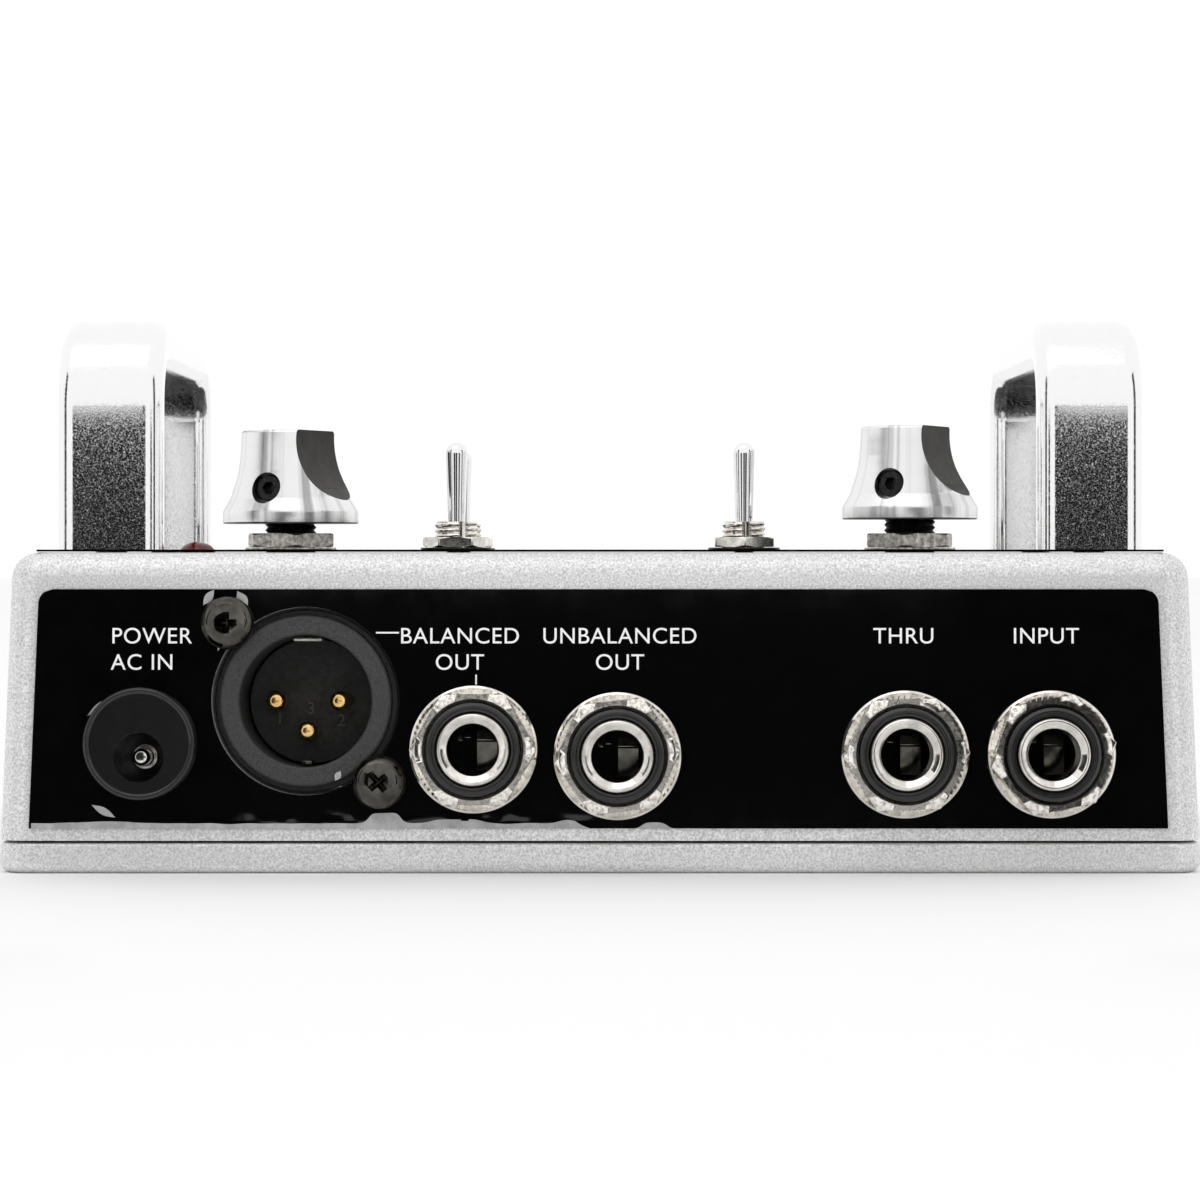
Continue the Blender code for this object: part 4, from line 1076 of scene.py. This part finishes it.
def make_toggle(side, x, y):
    """An upright bat lever in a threaded bushing, with its nut and washer."""
    groove = -84.0 if side == "right" else -70.0
    bushing = thread(
        f"toggle bushing {side}", 3 * MM, 2.35 * MM, 0.3 * MM, 4.2 * MM, 0.75 * MM, 0.32 * MM, groove=groove
    )
    flange = f"toggle_bushing_{side}"
    add(f"toggle bushing {side}", bushing, NICKEL, at(x, y, TOP), stands_for=flange)
    ring_mesh = washer(f"toggle washer {side}", 4.9 * MM, 3.1 * MM, 0.38 * MM, 0.68 * MM)
    add(f"toggle washer {side}", ring_mesh, BLACK_STEEL, at(x, y, TOP))
    mesh = nut(
        f"toggle nut {side}", 8 * MM, 0.75 * MM, 2.1 * MM, 3.05 * MM, TOGGLE_NUT_TURN[side]
    )
    add(f"toggle nut {side}", mesh, NICKEL, at(x, y, TOP), stands_for=f"toggle_nut_{side}")
    lever = [(0, LEVER_LENGTH)]
    for step in range(1, 13):
        angle = math.radians(90 * step / 12)
        lever.append((LEVER_TIP * math.sin(angle), LEVER_LENGTH - LEVER_TIP * (1 - math.cos(angle))))
    lever += [(1.2 * MM, 2.4 * MM), (1.35 * MM, 1.6 * MM)]
    for step in range(0, 9):
        angle = math.radians(45 + 105 * step / 8)
        lever.append((LEVER_BALL * math.sin(angle), LEVER_BALL * math.cos(angle)))
    lever.append((0, -LEVER_BALL))
    mesh = lathe(f"toggle lever {side}", lever, 96)
    place = at(x, y, TOP + TOGGLE_PIVOT)
    add(f"toggle lever {side}", mesh, CHROME, place, f"toggle_{side}", f"toggle_lever_{side}")


for side, (x, y) in TOGGLES.items():
    make_toggle(side, x, y)

dome = [(0, 1.4 * MM)]
for step in range(1, 9):
    angle = math.radians(90 * step / 8)
    dome.append((LED_RADIUS * math.sin(angle), -0.2 * MM + 1.6 * MM * math.cos(angle)))
dome += [(LED_RADIUS, -5 * MM), (0, -5 * MM)]
add("power lamp", lathe("power lamp", dome, 64), RED, at(*LED_PLACE, TOP), stands_for="power_led")


# ---------------------------------------------------------------- pieces kept from the frame

KEPT = {
    "base_screw": SCREW,
    "handle_screw": STEEL,
    "pot_shaft": STEEL,
    "toggle_case": GLOSS_BLACK,
    "main_board": BOARD,
    "output_transformer": STEEL,
}
for name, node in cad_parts.items():
    if node.hide_render:
        continue
    for start, made in KEPT.items():
        if name.startswith(start):
            node.data.materials.clear()
            node.data.materials.append(made)


# ---------------------------------------------------------------- studio


def plane(name, corners, made):
    """A flat sheet of the studio, which isn't part of the object."""
    mesh = bpy.data.meshes.new(name)
    mesh.from_pydata(corners, [], [tuple(range(len(corners)))])
    mesh.materials.append(made)
    sheet_obj = bpy.data.objects.new(name, mesh)
    bpy.context.scene.collection.objects.link(sheet_obj)
    return sheet_obj


plane("floor", [(-3, -3, 0), (3, -3, 0), (3, 6, 0), (-3, 6, 0)], FLOOR)
card_material = finish("black card", grey(4), grey(5), 0.0, (0.9, 1.0), 50 * MM)
# Heights of the dark cards: one far in front, one near each handle, and one off to each side
CARD_TOP = 0.115
NEAR_CARD_TOP = 0.0617
SIDE_CARD_TOP = 0.5


def upright_card(name, start, end, high):
    """A dark sheet standing on the floor between two places, seen only in sharp reflections."""
    corners = [(*start, 0), (*end, 0), (*end, high), (*start, high)]
    card = plane(name, corners, card_material)
    card.visible_camera = False
    card.visible_shadow = False
    card.visible_diffuse = False


upright_card("black card", (-0.17, -1.2), (0.17, -1.2), CARD_TOP)
for name, side in (("left", -1), ("right", 1)):
    upright_card(f"black card {name}", (side * 0.052, -0.16), (side * 0.105, -0.16), NEAR_CARD_TOP)
    upright_card(f"side card {name}", (side * 0.594, -0.37), (side * 0.666, -0.216), SIDE_CARD_TOP)

scene = bpy.context.scene
world = bpy.data.worlds.new("studio")
world.use_nodes = True
world.node_tree.nodes["Background"].inputs["Color"].default_value = (1, 1, 1, 1)
world.node_tree.nodes["Background"].inputs["Strength"].default_value = 1.05
scene.world = world

lamp_data = bpy.data.lights.new("soft light", "AREA")
lamp_data.shape = "RECTANGLE"
lamp_data.size = 0.9
lamp_data.size_y = 0.6
lamp_data.energy = 1.2
lamp = bpy.data.objects.new("soft light", lamp_data)
lamp.location = (-0.25, -0.35, 1.1)
lamp.rotation_euler = (math.radians(18), math.radians(-12), 0)
scene.collection.objects.link(lamp)

camera_data = bpy.data.cameras.new("camera")
camera_data.lens = 123.3
camera_data.sensor_width = 36
camera_data.shift_x = -0.0017
camera_data.shift_y = -0.039
camera_data.clip_start = 0.01
camera_data.dof.use_dof = False
camera = bpy.data.objects.new("camera", camera_data)
camera.location = (0.00024, -0.5606, 0.039)
camera.rotation_euler = (math.radians(90), 0, 0)
scene.collection.objects.link(camera)
scene.camera = camera
scene.view_settings.view_transform = "Standard"

bpy.context.view_layer.update()
